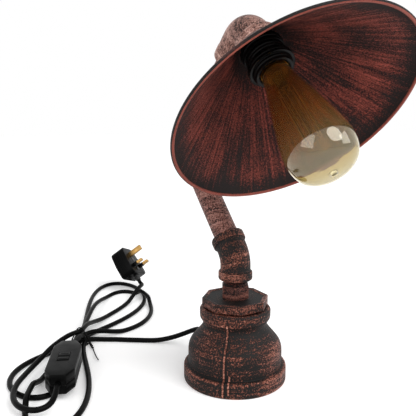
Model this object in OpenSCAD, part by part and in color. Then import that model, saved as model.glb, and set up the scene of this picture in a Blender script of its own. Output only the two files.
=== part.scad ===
// Industrial pipe table lamp: a cast reducer base, two pipe arms on elbow fittings,
// a spun cone shade with a tubular filament bulb, and a hanked mains cord.
// Millimetres, +Z up. The origin is the middle of the underside of the base.
// The arms lie in the YZ plane, the shade looks toward -Y and the cord leaves toward +Y.
// Every thread is drawn as a plain cylinder with its running clearance.

/* [Base casting] */
// How far the foot ring stands proud of the bell
ring_step = 5; // [4.5:0.5:8]
// Height of the foot ring
ring_height = 16.6; // [12:0.2:20]
// Outer radius of the bell above the foot ring
bell_radius = 51; // [47:0.5:51.5]
// Height at which the bell starts to draw in
bell_top = 36; // [34:0.5:38]
// Radius of the waist under the collar
neck_radius = 34.4; // [34:0.1:36]
// Height of the waist
neck_height = 61; // [59:0.5:63]
// Outer radius of the threaded collar
collar_radius = 38.4; // [37.5:0.1:42]
// Height of the collar's upper rim
collar_top = 81; // [80:0.5:90]
// Wall thickness of the casting
casting_wall = 5; // [4:0.1:5.5]
// Thickness of the closing plate
plate_thickness = 2; // [1.5:0.1:3]
// Thickness of the pad that the lamp rests on
pad_thickness = 2.6; // [1:0.1:3]
// Number of plate screws
screw_count = 3; // [3:1:4]

/* [Bushing and nipple] */
// Size across the flats of the octagon bushing
bushing_flats = 66.9; // [62:0.1:72]
// Height of the octagon
bushing_head = 9.4; // [7:0.1:14]
// Radius of the thread that screws into the collar
bushing_thread = 29.8; // [26:0.1:30.5]
// Dark gap between the collar and the octagon
bushing_gap = 1.2; // [0.5:0.1:3]
// Size across the flats of the hex nipple
nipple_flats = 28; // [27.5:0.1:32]
// Height of the nipple's hexagon
nipple_hex = 13.4; // [8:0.1:18]
// Length of thread that shows above the hexagon
nipple_neck = 6.1; // [2:0.1:10]
// Bore of the hex nipple
nipple_bore = 9.5; // [6:0.1:10.5]

/* [Pipes and elbows] */
// Outer radius of the arm pipes
pipe_radius = 13.35; // [12.8:0.05:14]
// Wall of the arm pipes
pipe_wall = 2.9; // [2:0.1:4]
// Length of the lower pipe
lower_pipe_length = 123; // [90:1:150]
// Length of the upper pipe
upper_pipe_length = 126; // [115:1:160]
// Length of thread that each pipe screws into a fitting
engagement = 13; // [9:0.5:13.5]
// Angle that the lower elbow turns through
lower_turn = 44.3; // [35:0.1:50]
// Centre to face of the lower elbow
lower_take = 25; // [24.5:0.1:30]
// Centre to face of the middle elbow
middle_take = 33; // [32:0.1:40]
// Centre to small face of the top elbow
top_take_in = 44; // [40:0.1:50]
// Centre to large face of the top elbow
top_take_out = 30; // [30:0.1:36]
// Outer radius of the elbow bodies
elbow_radius = 16.2; // [16:0.1:17]
// Outer radius of the small bands
band_radius = 18.3; // [17.6:0.1:20]
// Outer radius of the large band of the top elbow
big_band_radius = 22.3; // [21:0.1:24]
// Height of the bands
band_height = 9.5; // [7:0.1:10.5]
// Inner radius of the fittings' waterway
waterway = 11; // [10.6:0.1:11.5]

/* [Shade] */
// Radius of the shade's rim, lip included
rim_radius = 118.5; // [100:0.5:128]
// Depth of the shade from its flat top to its rim
shade_depth = 88; // [76:0.5:110]
// Radius of the shade's flat top
shade_top_radius = 24; // [23.5:0.5:28]
// Thickness of the shade's sheet
sheet = 1; // [0.6:0.1:1.4]
// Radius of the rolled lip
lip_radius = 1.8; // [1.2:0.1:3]
// Thickness of the washer between elbow and shade
washer_thickness = 1.5; // [1:0.1:3]

/* [Lampholder and bulb] */
// Radius of the hollow nipple that holds the lampholder
stud_radius = 5; // [4.5:0.1:6]
// Outer radius of the lampholder's body
holder_radius = 20; // [19:0.1:21]
// Length of the lampholder below the shade's top
holder_length = 34; // [32:0.5:38]
// Radius of the shade ring
holder_ring_radius = 22.8; // [22.4:0.1:25]
// Radius of the bulb's screw cap
cap_radius = 13; // [12.8:0.1:13.4]
// Largest radius of the glass
glass_radius = 32; // [26:0.5:36]
// Length of the bulb from contact to nub
bulb_length = 143; // [135:1:155]
// Wall of the glass
glass_wall = 0.9; // [0.6:0.1:1.2]

/* [Cord, switch and plug] */
// Diameter of the round flex
cord_diameter = 6; // [5.6:0.1:6.2]
// Length of the switch
switch_length = 90; // [84:1:94]
// Width of the switch
switch_width = 31; // [28:0.5:33]
// Height of the switch
switch_height = 21; // [20:0.5:25]
// Wall of the switch shells
switch_wall = 2; // [1.5:0.1:2.5]
// Width of the plug across its line pins
plug_width = 49; // [47:0.5:51]
// Height of the plug from its cord end to its earth end
plug_height = 49; // [48:0.5:51]
// Depth of the plug behind its pin face
plug_depth = 24; // [22:0.5:26]
// Length of the earth pin
earth_pin_length = 22.7; // [20:0.1:24]
// Length of the line pins
line_pin_length = 17.7; // [16:0.1:19]

/* [Hidden] */
$fn = 72;

// Clearances: a running thread, a seat between parts that turn on each other,
// and a loose seat of a part that is only laid in place.
thread_gap = 0.08;
turn_gap = 0.3;
lay_gap = 0.1;
// Extra length that carries a cut past the face it opens
cut_past = 1;
// Step where a straight run of a fitting or of the flex laps over its bend
seam = 0.2;

// --- Base stack -------------------------------------------------------------------
edge = 2;
ring_radius = bell_radius + ring_step;
plate_recess = pad_thickness + plate_thickness;
plate_radius = ring_radius - 6;
cavity_radius = bell_radius - casting_wall;
boss_radius = 5.5;
screw_circle = cavity_radius - boss_radius + 0.5;
boss_height = 12;
screw_radius = 1.5;
screw_length = 8;
screw_head_radius = 3;
screw_head_depth = 1.5;
collar_bore_depth = 22;
bushing_z = collar_top + bushing_gap;
bushing_thread_length = 21;
nipple_z = bushing_z + bushing_head;
nipple_hex_top = nipple_z + nipple_hex;
nipple_thread = 13.2;
nipple_grip = 20;
lower_face_z = nipple_hex_top + nipple_neck;
elbow_z = lower_face_z + lower_take;
// Corner of an octagon or hexagon from the size across its flats
octagon_corner = bushing_flats / 2 / cos(22.5);
hexagon_corner = nipple_flats / 2 / cos(30);

// --- Arm geometry -----------------------------------------------------------------
// Directions along the lower pipe, along the upper pipe and along the shade's axis
lower_dir = [0, sin(lower_turn), cos(lower_turn)];
upper_dir = [0, -cos(lower_turn), sin(lower_turn)];
lower_corner = [0, 0, elbow_z];
lower_span = lower_take + middle_take - 2 * engagement + lower_pipe_length;
middle_corner = lower_corner + lower_span * lower_dir;
upper_span = middle_take + top_take_in - 2 * engagement + upper_pipe_length;
top_corner = middle_corner + upper_span * upper_dir;
lower_bend = 26;
middle_bend = 20;
top_bend = 18.4;
socket_radius = pipe_radius + thread_gap;
band_edge = 1.2;
band_step = 2.1;
top_elbow_radius = elbow_radius + 1.6;
big_socket_radius = 16.6;
big_socket_depth = 12;

// --- Head stations, measured along the shade's axis from the top elbow's corner -----
washer_s = top_take_out;
shade_s = washer_s + washer_thickness;
rim_s = shade_s + shade_depth;
holder_s = shade_s + sheet + lay_gap;
mouth_s = holder_s + holder_length;
holder_cap_length = 10;
holder_wall = 2;
stud_bore = cord_diameter / 2 + 0.6;
nut_height = 3;
nut_corner = stud_radius + 3;
thread_past = 0.5;
upper_nut_s = washer_s - big_socket_depth - nut_height;
lower_nut_s = holder_s + holder_wall;
stud_top_s = upper_nut_s - thread_past;
stud_end_s = lower_nut_s + nut_height + thread_past;
insert_height = 4;
insert_s = holder_s + holder_cap_length - insert_height;
shell_inner = cap_radius + turn_gap;
shell_wall = 0.5;
shell_s = insert_s + insert_height;
tongue_height = 1.4;
bulb_s = insert_s + insert_height + tongue_height + turn_gap;
contact_height = 2;
bulb_insulator_height = 4;
cap_length = 17;
bulb_cap_s = bulb_s + contact_height + bulb_insulator_height;
neck_s = bulb_cap_s + cap_length;
bulb_end_s = bulb_s + bulb_length;
nub_length = 3;
cap_wall = 0.6;
foot_s = neck_s - 6;
foot_disc = 4;
foot_radius = 7;
foot_tip = 3;
foot_length = 0.19 * bulb_length;
post_radius = 1.8;
post_length = 0.43 * bulb_length;
cage_radius = 8;
strand_radius = 0.4;
strand_count = 8;
strand_length = 0.41 * bulb_length;
disc_height = 0.8;
neck_step = 1.4;
neck_glass_radius = cap_radius + neck_step;

// --- Cord route ---------------------------------------------------------------------
cord_radius = cord_diameter / 2;
cord_z = cord_radius;
relief_bore = cord_radius + 0.05;
gland_z = 25;
gland_reach = 78;
gland_flange_radius = 8;
gland_flange = 3;
gland_body_radius = 6;
// The hank's waist: place, heading toward the loops under the switch, strand spacing
waist = [-121, 168];
waist_heading = -131;
// Heading of the strand that runs from the waist to the switch
switch_way = -121;
strand_step = cord_diameter + 0.8;
level_step = cord_diameter + 0.5;
waist_lift = 1.9;
toward_lamp = [cos(waist_heading + 90), sin(waist_heading + 90)];
// Places of the strands in the tied waist: sideways in steps, and level
slot_lead = [1, 0];
slot_mid = [0, 0];
slot_left = [-1, 0];
slot_right_up = [0.5, 1];
slot_left_up = [-0.5, 1];
slot_crown = [0, 2];
tie_width = 3;
tie_thickness = 1.2;
tie_past = 0.5;
// Each loop: slot out, slot back, +1 under the switch or -1 toward the plug,
// pull and heading going out, pull and heading coming back, straight run at the waist,
// share held at full level going out and coming back, share and half width of the rise
loops = [
    [slot_lead, slot_mid, 1, 300, -85, 350, -140, 72, 0, 0, 0.745, 0.07],
    [slot_mid, slot_left, -1, 290, 0, 530, 79, 110, 0, 0, -1, 0.07],
    [slot_left, slot_left_up, 1, 220, -185, 320, -97, 54, 0, 0.035, -1, 0.07],
    [slot_left_up, slot_right_up, -1, 555, 70, 265, -38, 63, 0.15, 0.05, 0.525, 0.08]
];
rings_per_loop = 24;
fall_share = 0.13;
rise = level_step + 0.9;
hank_sides = 6;
cord_sides = 8;
// The cord from the gland to the waist
lead_route = [
    [0, gland_reach, gland_z], [0, 84, 25], [-4, 94, 20], [-12, 104, 13.5], [-23, 113, 8],
    [-36, 123, 4], [-50, 133, 3], [-65, 143, 3], [-80, 153.5, 3], [-90, 159.5, 3]
];
// The start of the hank, up to the waist
hank_entry = [[-90, 159.5, 3], [-98, 164.3, 3], [-103.8, 166.6, 3.6], [-109.8, 166.8, 4.3]];
// The cord from the switch back over the waist to the plug
tail_route = [
    [-191.5, 25.5, 16], [-196.5, 18.5, 13.5], [-203, 14.5, 11.5], [-212, 14, 10.8],
    [-220.5, 20, 10.6], [-226, 32, 10.4], [-227, 47, 10.2], [-224, 62, 10.2], [-217, 78, 10.4],
    [-207, 94, 9.8], [-194, 111, 10], [-180, 126, 12], [-165, 140, 15.5], [-150, 150.5, 18.2],
    [-139, 157, 19.4], [-130, 162, 19], [-121, 168, 18], [-114.5, 175.5, 18], [-105, 190, 16],
    [-91, 209, 10], [-75, 226, 5], [-59, 240, 3], [-43, 252, 3], [-28, 264, 3.2], [-14, 276, 4.5],
    [-2, 287, 9], [8, 296, 13.4], [16.5, 304, 15.4], [23, 311, 15.4], [26.5, 317.5, 14.8]
];

// --- Switch and plug places -----------------------------------------------------------
switch_at = [-167, 80];
switch_heading = -114;
switch_z = cord_diameter + 1.4;
switch_end_half = 8;
switch_taper = 15;
switch_split = 11;
rocker_length = 20;
rocker_width = 12;
rocker_pin = 1.5;
plug_at = [16, 350, 41];
plug_turn = [50, 20, 41];
plug_relief_length = 8;
plug_split = 9;
plug_wall = 2;
earth_pin_at = 11.5;
line_pin_at = -10.7;
line_pin_apart = 22.2;
earth_pin_size = [4, 8];
line_pin_size = [6.35, 4];
fuse_size = [8.5, 14];
fuse_at = -0.5;
plug_screw_at = -15.5;

// --- Shared functions -------------------------------------------------------------------
function unit(v) = v / norm(v);
function heading(angle) = [cos(angle), sin(angle)];
function lerp(a, b, t) = a * (1 - t) + b * t;
// Point at share t of the curve that a list of control points pulls
function pulled(points, t) = len(points) == 1
    ? points[0]
    : pulled([for (i = [0 : len(points) - 2]) lerp(points[i], points[i + 1], t)], t);
// 1 at the start of a fall, 0 at its end
function fall(u) = u <= 0 ? 1 : u >= 1 ? 0 : 1 - u * u * (3 - 2 * u);
function swell(s, at, half) = abs(s - at) >= half
    ? 0
    : min(1, 0.9 * (1 + cos(180 * (s - at) / half)));
function slot_xy(slot) = waist + slot[0] * strand_step * toward_lamp;
function slot_z(slot) = cord_z + waist_lift + slot[1] * level_step;
function slot_point(slot) = [slot_xy(slot)[0], slot_xy(slot)[1], slot_z(slot)];
function loop_xy(l, s) = pulled([
    slot_xy(l[0]),
    slot_xy(l[0]) + l[2] * l[7] * heading(waist_heading),
    slot_xy(l[0]) + l[3] * heading(l[4]),
    slot_xy(l[1]) + l[5] * heading(l[6]),
    slot_xy(l[1]) + l[2] * l[7] * heading(waist_heading),
    slot_xy(l[1])
], s);
function loop_z(l, s) = max(
    cord_z
        + (slot_z(l[0]) - cord_z) * fall((s - l[8]) / fall_share)
        + (slot_z(l[1]) - cord_z) * fall((1 - s - l[9]) / fall_share),
    cord_z + rise * swell(s, l[10], l[11])
);
function loop_point(l, s) = [loop_xy(l, s)[0], loop_xy(l, s)[1], loop_z(l, s)];
function on_switch(along) = [
    switch_at[0] + along * cos(switch_heading),
    switch_at[1] + along * sin(switch_heading),
    switch_z + switch_split
];
cord_grip = 5;
switch_entry = on_switch(cord_grip - switch_length / 2);
switch_exit = on_switch(switch_length / 2 - cord_grip);
// A point that lies at a distance past the waist on the way to the switch
function past_waist(distance, z) = [
    slot_xy(slot_right_up)[0] + distance * cos(switch_way),
    slot_xy(slot_right_up)[1] + distance * sin(switch_way),
    z
];
function before_switch(distance) = on_switch(-switch_length / 2 - distance);
function past_switch(distance) = on_switch(switch_length / 2 + distance);
hank_route = [
    for (p = hank_entry) p,
    for (l = loops) for (i = [0 : rings_per_loop - 1]) loop_point(l, i / rings_per_loop),
    slot_point(slot_right_up),
    past_waist(3.5, slot_z(slot_right_up)),
    past_waist(10, 14.8),
    past_waist(17, 17.6),
    past_waist(25, 18.4),
    before_switch(cord_diameter),
    before_switch(0),
    switch_entry
];
function direction(points, i) =
    i == 0 ? unit(points[1] - points[0])
    : i == len(points) - 1 ? unit(points[i] - points[i - 1])
    : unit(unit(points[i + 1] - points[i]) + unit(points[i] - points[i - 1]));
function ring_side(d) = unit(cross(d, [0, 0, 1]));
function ring_points(centre, d, radius, sides) = [
    for (k = [0 : sides - 1])
        centre
            + radius * cos(360 * k / sides) * ring_side(d)
            + radius * sin(360 * k / sides) * cross(ring_side(d), d)
];
// Least distance between the middles of strands that lie further apart along the cord
function fine(points, n) = [
    for (i = [0 : len(points) - 2]) for (k = [0 : n - 1]) lerp(points[i], points[i + 1], k / n)
];
function apart(points, skip) = min([
    for (i = [0 : len(points) - 1 - skip])
        min([for (j = [i + skip : len(points) - 1]) norm(points[i] - points[j])])
]);

function about_x(a, v) = [v[0], v[1] * cos(a) - v[2] * sin(a), v[1] * sin(a) + v[2] * cos(a)];
function about_y(a, v) = [v[0] * cos(a) + v[2] * sin(a), v[1], v[2] * cos(a) - v[0] * sin(a)];
function about_z(a, v) = [v[0] * cos(a) - v[1] * sin(a), v[0] * sin(a) + v[1] * cos(a), v[2]];
function turned(turn, v) = about_z(turn[2], about_y(turn[1], about_x(turn[0], v)));
// A point on the cord's axis in the plug, at a distance inside the plug's cord end
function plug_point(inside) = plug_at
    + turned(plug_turn, [0, inside - plug_height / 2, plug_depth / 2 - plug_split]);

// --- Shared modules -----------------------------------------------------------------------
module at_head() {
    translate(top_corner) rotate([180 - lower_turn, 0, 0]) children();
}

module at_switch() {
    translate([switch_at[0], switch_at[1], switch_z]) rotate([0, 0, switch_heading]) children();
}

module at_plug() {
    translate(plug_at) rotate(plug_turn) children();
}

// A tube that runs along a list of points
module tube(points, radius, sides) {
    rings = len(points);
    corners = [
        for (i = [0 : rings - 1]) each ring_points(points[i], direction(points, i), radius, sides)
    ];
    walls = [
        for (i = [0 : rings - 2]) for (k = [0 : sides - 1])
            let (a = i * sides + k, b = i * sides + (k + 1) % sides)
                each [[a, b, a + sides], [b, b + sides, a + sides]]
    ];
    first_cap = [for (k = [1 : sides - 2]) [0, k + 1, k]];
    last_start = (rings - 1) * sides;
    last_cap = [for (k = [1 : sides - 2]) [last_start, last_start + k, last_start + k + 1]];
    polyhedron(points = corners, faces = [each walls, each first_cap, each last_cap]);
}

// A pipe or sleeve standing on the XY plane
module sleeve(outer, inner, height) {
    difference() {
        cylinder(r = outer, h = height);
        translate([0, 0, -cut_past]) cylinder(r = inner, h = height + 2 * cut_past);
    }
}

// A solid disc with both rims bevelled
module band(radius, height, bevel) {
    rotate_extrude() polygon([
        [0, 0], [radius - bevel, 0], [radius, bevel],
        [radius, height - bevel], [radius - bevel, height], [0, height]
    ]);
}

// Part of a ring of round section, starting at the origin of the inlet axis
module arc(bend, turn, radius) {
    translate([0, bend, -bend * tan(turn / 2)])
        rotate([90, 0, -90])
            rotate_extrude(angle = turn) translate([bend, 0]) circle(r = radius);
}

// Places its children at the outlet's corner side, looking out along the outlet
module at_outlet(turn) {
    rotate([-turn, 0, 0]) children();
}

// An elbow whose corner is the origin, inlet from -Z, outlet turned toward +Y
module elbow(turn, bend, take_in, take_out, body, out_radius, out_socket, out_depth) {
    run = bend * tan(turn / 2);
    difference() {
        union() {
            translate([0, 0, -take_in]) cylinder(r = body + seam, h = take_in - run + seam);
            translate([0, 0, -take_in]) band(band_radius, band_height, band_edge);
            arc(bend, turn, body);
            at_outlet(turn) {
                translate([0, 0, run - seam]) cylinder(
                    r1 = body + seam,
                    r2 = max(body + seam, out_radius - band_step),
                    h = take_out - run - band_height / 2 + seam
                );
                translate([0, 0, take_out - band_height]) band(out_radius, band_height, band_edge);
            }
        }
        translate([0, 0, -take_in - cut_past])
            cylinder(r = socket_radius, h = engagement + turn_gap + cut_past);
        translate([0, 0, -take_in]) cylinder(r = waterway + seam, h = take_in - run + seam);
        arc(bend, turn, waterway);
        at_outlet(turn) {
            translate([0, 0, run - seam]) cylinder(r = waterway + seam, h = take_out - run);
            translate([0, 0, take_out - out_depth]) cylinder(r = out_socket, h = out_depth + cut_past);
        }
    }
}

// The flex round a bend, with its straight runs before and after the corner
module bent_flex(bend, turn, before, after) {
    run = bend * tan(turn / 2);
    translate([0, 0, -before]) cylinder(r = cord_radius, h = before - run + seam);
    arc(bend, turn, cord_radius - seam / 2);
    at_outlet(turn) translate([0, 0, run - seam]) cylinder(r = cord_radius, h = after - run + seam);
}

module pipe(length) {
    sleeve(pipe_radius, pipe_radius - pipe_wall, length);
}

// --- Base -----------------------------------------------------------------------------------
module screw_places() {
    for (i = [0 : screw_count - 1])
        rotate([0, 0, 90 + 360 * (i + 0.5) / screw_count]) translate([screw_circle, 0, 0]) children();
}

module base_reducer() color("#4a2a26") difference() {
    union() {
        difference() {
            rotate_extrude() polygon([
                [0, 0], [ring_radius - edge, 0], [ring_radius, edge],
                [ring_radius, ring_height - edge], [ring_radius - edge, ring_height],
                [bell_radius, ring_height], [bell_radius, bell_top],
                [bell_radius - 1.7, bell_top + 5], [bell_radius - 4.6, bell_top + 10],
                [bell_radius - 8.6, bell_top + 14], [bell_radius - 12.4, bell_top + 19],
                [neck_radius + 0.8, neck_height - 3], [neck_radius, neck_height],
                [neck_radius + 0.6, neck_height + 2.5], [collar_radius - 0.8, neck_height + 7],
                [collar_radius, neck_height + 11], [collar_radius, collar_top - 3],
                [collar_radius - 1, collar_top - 0.8], [collar_radius - 2.2, collar_top],
                [0, collar_top]
            ]);
            // Hollow of the bell, following the outside at the wall's thickness
            rotate_extrude() polygon([
                [0, -cut_past], [cavity_radius, -cut_past], [cavity_radius, bell_top - 1],
                [cavity_radius - 4.6, bell_top + 8], [cavity_radius - 12, bell_top + 15],
                [neck_radius - casting_wall, neck_height - 5],
                [neck_radius - casting_wall, collar_top - collar_bore_depth],
                [0, collar_top - collar_bore_depth]
            ]);
        }
        screw_places() translate([0, 0, plate_recess]) cylinder(r = boss_radius, h = boss_height);
    }
    translate([0, 0, collar_top - collar_bore_depth - cut_past])
        cylinder(r = bushing_thread + thread_gap, h = collar_bore_depth + 2 * cut_past);
    translate([0, 0, collar_top - edge])
        cylinder(r1 = bushing_thread + thread_gap, r2 = collar_radius - 2.7, h = edge + 0.01);
    translate([0, 0, -cut_past]) cylinder(r = plate_radius + turn_gap, h = plate_recess + cut_past);
    screw_places() translate([0, 0, -cut_past])
        cylinder(r = screw_radius + thread_gap, h = plate_recess + screw_length + cut_past);
    translate([0, 0, gland_z]) rotate([-90, 0, 0])
        cylinder(r = gland_body_radius + lay_gap, h = ring_radius + cut_past);
}

module base_plate() color("#2b2b2b") difference() {
    translate([0, 0, pad_thickness]) cylinder(r = plate_radius, h = plate_thickness);
    screw_places() translate([0, 0, -cut_past])
        cylinder(r = screw_radius + thread_gap, h = plate_recess + 2 * cut_past);
    screw_places() translate([0, 0, pad_thickness - cut_past])
        cylinder(r = screw_head_radius + lay_gap, h = screw_head_depth + cut_past);
}

module base_pad() color("#1a1a1a")
    cylinder(r = plate_radius - edge, h = pad_thickness);

module plate_screws() color("#777777") screw_places() {
    translate([0, 0, pad_thickness])
        cylinder(r = screw_head_radius, h = screw_head_depth - thread_gap);
    translate([0, 0, pad_thickness])
        cylinder(r = screw_radius, h = screw_length);
}

module octagon_bushing() color("#5a332c") difference() {
    union() {
        intersection() {
            translate([0, 0, bushing_z]) rotate([0, 0, 22.5])
                cylinder(r = octagon_corner, h = bushing_head, $fn = 8);
            translate([0, 0, bushing_z]) band(octagon_corner, bushing_head, band_edge);
        }
        translate([0, 0, bushing_z - bushing_thread_length])
            cylinder(r = bushing_thread, h = bushing_thread_length + cut_past);
    }
    translate([0, 0, bushing_z - bushing_thread_length - cut_past])
        cylinder(r = nipple_thread + thread_gap, h = bushing_thread_length + bushing_head + 2 * cut_past);
}

module hex_nipple() color("#4f2c27") difference() {
    union() {
        intersection() {
            translate([0, 0, nipple_z]) cylinder(r = hexagon_corner, h = nipple_hex, $fn = 6);
            translate([0, 0, nipple_z]) band(hexagon_corner, nipple_hex, band_edge);
        }
        translate([0, 0, nipple_z - nipple_grip])
            cylinder(r = nipple_thread, h = nipple_grip + nipple_hex + nipple_neck + engagement);
    }
    translate([0, 0, nipple_z - nipple_grip - cut_past]) cylinder(
        r = nipple_bore,
        h = nipple_grip + nipple_hex + nipple_neck + engagement + 2 * cut_past
    );
}

// Strain relief: a flange outside the bell, a body through its wall and a tapered tail
module cord_gland() color("#111111") translate([0, 0, gland_z]) rotate([-90, 0, 0]) difference() {
    union() {
        translate([0, 0, cavity_radius - gland_flange])
            cylinder(r = gland_body_radius, h = gland_flange + ring_radius - cavity_radius);
        translate([0, 0, bell_radius + lay_gap]) cylinder(r = gland_flange_radius, h = gland_flange);
        translate([0, 0, bell_radius + gland_flange]) cylinder(
            r1 = gland_body_radius,
            r2 = relief_bore + 0.8,
            h = gland_reach - bell_radius - gland_flange
        );
    }
    cylinder(r = relief_bore, h = gland_reach + cut_past);
}

// The flex inside the base: in through the gland, up the middle to the lower elbow
module cable_in_base() color("#151515") {
    turn_in = 20;
    stop_z = lower_face_z + engagement / 2;
    translate([0, 0, gland_z]) rotate([90, 0, 0])
        bent_flex(turn_in, 90, gland_reach, stop_z - gland_z);
}

// --- Arms --------------------------------------------------------------------------------------
module lower_elbow() color("#3d2421") translate(lower_corner)
    elbow(
        lower_turn, lower_bend, lower_take, lower_take,
        elbow_radius, band_radius, socket_radius, engagement + turn_gap
    );

module lower_pipe() color("#6a3a33") translate(lower_corner) rotate([-lower_turn, 0, 0])
    translate([0, 0, lower_take - engagement]) pipe(lower_pipe_length);

module cable_in_lower_arm() color("#151515") translate(lower_corner) bent_flex(
    lower_bend, lower_turn,
    lower_take - engagement / 2 - turn_gap,
    lower_span - middle_take + engagement / 2
);

// Turns from the lower pipe back over the base
module middle_elbow() color("#3d2421") translate(middle_corner) rotate([-lower_turn, 0, 0])
    rotate([0, 0, 180]) elbow(
        90, middle_bend, middle_take, middle_take,
        elbow_radius, band_radius, socket_radius, engagement + turn_gap
    );

module upper_pipe() color("#6a3a33") translate(middle_corner) rotate([90 - lower_turn, 0, 0])
    translate([0, 0, middle_take - engagement]) pipe(upper_pipe_length);

module cable_in_upper_arm() color("#151515") translate(middle_corner) rotate([-lower_turn, 0, 0])
    rotate([0, 0, 180]) bent_flex(
        middle_bend, 90,
        middle_take - engagement / 2 - turn_gap,
        upper_span - top_take_in + engagement / 2
    );

// --- Head --------------------------------------------------------------------------------------
module top_elbow() color("#8a5a50") translate(top_corner) rotate([90 - lower_turn, 0, 0])
    rotate([0, 0, 180]) elbow(
        90, top_bend, top_take_in, top_take_out,
        top_elbow_radius, big_band_radius, big_socket_radius, big_socket_depth
    );

module head_plug() color("#3d2421") at_head() translate([0, 0, top_take_out - big_socket_depth])
    sleeve(big_socket_radius - thread_gap, stud_radius + thread_gap, big_socket_depth);

module holder_stud() color("#c9a24a") at_head() translate([0, 0, stud_top_s])
    sleeve(stud_radius, stud_bore, stud_end_s - stud_top_s);

module stud_nuts() color("#c9a24a") at_head()
    for (s = [upper_nut_s, lower_nut_s])
        translate([0, 0, s]) difference() {
            cylinder(r = nut_corner, h = nut_height, $fn = 6);
            translate([0, 0, -cut_past])
                cylinder(r = stud_radius + thread_gap, h = nut_height + 2 * cut_past);
        }

module cable_in_head() color("#151515") translate(top_corner) rotate([90 - lower_turn, 0, 0])
    rotate([0, 0, 180]) bent_flex(
        top_bend, 90,
        top_take_in - engagement / 2 - turn_gap,
        insert_s
    );

module shade_washer() color("#1c1412") at_head() translate([0, 0, washer_s])
    sleeve(big_band_radius - band_edge - 2, stud_radius + thread_gap, washer_thickness);

module shade() color("#6b231e") at_head() {
    slope = (rim_radius - lip_radius - shade_top_radius) / (shade_depth - lip_radius);
    across = sheet * sqrt(1 + slope * slope);
    difference() {
        union() {
            rotate_extrude() polygon([
                [0, shade_s], [shade_top_radius, shade_s],
                [rim_radius - lip_radius, rim_s - lip_radius],
                [rim_radius - lip_radius - across, rim_s - lip_radius],
                [shade_top_radius - across + slope * sheet, shade_s + sheet], [0, shade_s + sheet]
            ]);
            translate([0, 0, rim_s - lip_radius])
                rotate_extrude() translate([rim_radius - lip_radius, 0]) circle(r = lip_radius);
        }
        translate([0, 0, shade_s - cut_past])
            cylinder(r = stud_radius + thread_gap, h = sheet + 2 * cut_past);
    }
}

// Skirt that closes the top of the lampholder
module holder_cap() color("#17110f") at_head() translate([0, 0, holder_s]) difference() {
    cylinder(r1 = holder_radius + 1.5, r2 = holder_radius + 0.8, h = holder_cap_length);
    translate([0, 0, holder_wall])
        cylinder(r = holder_radius - holder_wall - turn_gap, h = holder_cap_length);
    translate([0, 0, -cut_past]) cylinder(r = stud_radius + thread_gap, h = holder_cap_length);
}

module holder_body() color("#17110f") at_head() {
    start = holder_s + holder_cap_length + lay_gap;
    length = mouth_s - start;
    ribs = 5;
    translate([0, 0, start]) difference() {
        union() {
            cylinder(r = holder_radius - 0.8, h = length);
            for (i = [0 : ribs - 1]) translate([0, 0, (i + 0.2) * length / ribs])
                band(holder_radius, length / ribs * 0.6, 0.4);
        }
        translate([0, 0, -cut_past]) cylinder(r = shell_inner + shell_wall + lay_gap, h = length + 2 * cut_past);
    }
}

module holder_ring() color("#17110f") at_head() translate([0, 0, mouth_s - 12])
    sleeve(holder_ring_radius, holder_radius + lay_gap, 6);

// Ceramic insert that carries the contacts
module holder_insert() color("#e6e0d2") at_head() translate([0, 0, insert_s]) difference() {
    cylinder(r = holder_radius - holder_wall - turn_gap - lay_gap, h = insert_height - lay_gap);
    translate([0, 0, -cut_past]) cylinder(r = 2, h = insert_height);
}

module screw_shell() color("#c9a24a") at_head() translate([0, 0, shell_s])
    sleeve(shell_inner + shell_wall, shell_inner, mouth_s - shell_s - cut_past);

module centre_contact() color("#c9a24a") at_head() translate([-2.5, -6, shell_s - lay_gap])
    cube([5, 12, tongue_height]);

// --- Bulb ----------------------------------------------------------------------------------------
// Outline of the glass at a wall's thickness inside its outer face
function glass_line(inset) = let (start = neck_s, finish = bulb_end_s - nub_length) [
    [cap_radius - inset, start],
    [neck_glass_radius - inset, start + 3],
    [neck_glass_radius + 1.6 - inset, start + 14],
    [lerp(neck_glass_radius, glass_radius, 0.4) - inset, lerp(start, finish, 0.3)],
    [lerp(neck_glass_radius, glass_radius, 0.7) - inset, lerp(start, finish, 0.5)],
    [lerp(neck_glass_radius, glass_radius, 0.92) - inset, lerp(start, finish, 0.66)],
    [glass_radius - inset, lerp(start, finish, 0.77)],
    [glass_radius * 0.97 - inset, lerp(start, finish, 0.85)],
    [glass_radius * 0.85 - inset, lerp(start, finish, 0.93)],
    [glass_radius * 0.6 - inset, finish - 2.5 - inset],
    [glass_radius * 0.3 - inset / 2, finish - 0.8 - inset],
    [0, finish - inset]
];

module bulb_glass() color("#8a6a3c") at_head() {
    difference() {
        rotate_extrude() polygon([[0, neck_s], each glass_line(0)]);
        rotate_extrude() polygon([
            [0, neck_s - cut_past], [cap_radius - glass_wall, neck_s - cut_past], each glass_line(glass_wall)
        ]);
    }
    translate([0, 0, bulb_end_s - nub_length - 0.5]) cylinder(r1 = 3, r2 = 1.5, h = nub_length + 0.5);
}

module bulb_cap() color("#c9a24a") at_head() translate([0, 0, bulb_cap_s])
    sleeve(cap_radius, cap_radius - cap_wall, cap_length);

module bulb_insulator() color("#202020") at_head() translate([0, 0, bulb_s + contact_height])
    difference() {
        cylinder(r1 = 6, r2 = cap_radius, h = bulb_insulator_height);
        translate([0, 0, -cut_past]) cylinder(r = 1, h = bulb_insulator_height + 2 * cut_past);
    }

module bulb_contact() color("#b8b8b8") at_head() translate([0, 0, bulb_s])
    cylinder(r1 = 3.5, r2 = 4.8, h = contact_height);

// Glass foot with the post that carries the filament
module bulb_stem() color("#b9c4c0") at_head() {
    translate([0, 0, foot_s]) cylinder(r = cap_radius - cap_wall - lay_gap, h = foot_disc);
    translate([0, 0, foot_s]) cylinder(r1 = foot_radius, r2 = foot_tip, h = foot_length);
    translate([0, 0, foot_s + foot_length - cut_past]) cylinder(r = post_radius, h = post_length);
}

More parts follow.
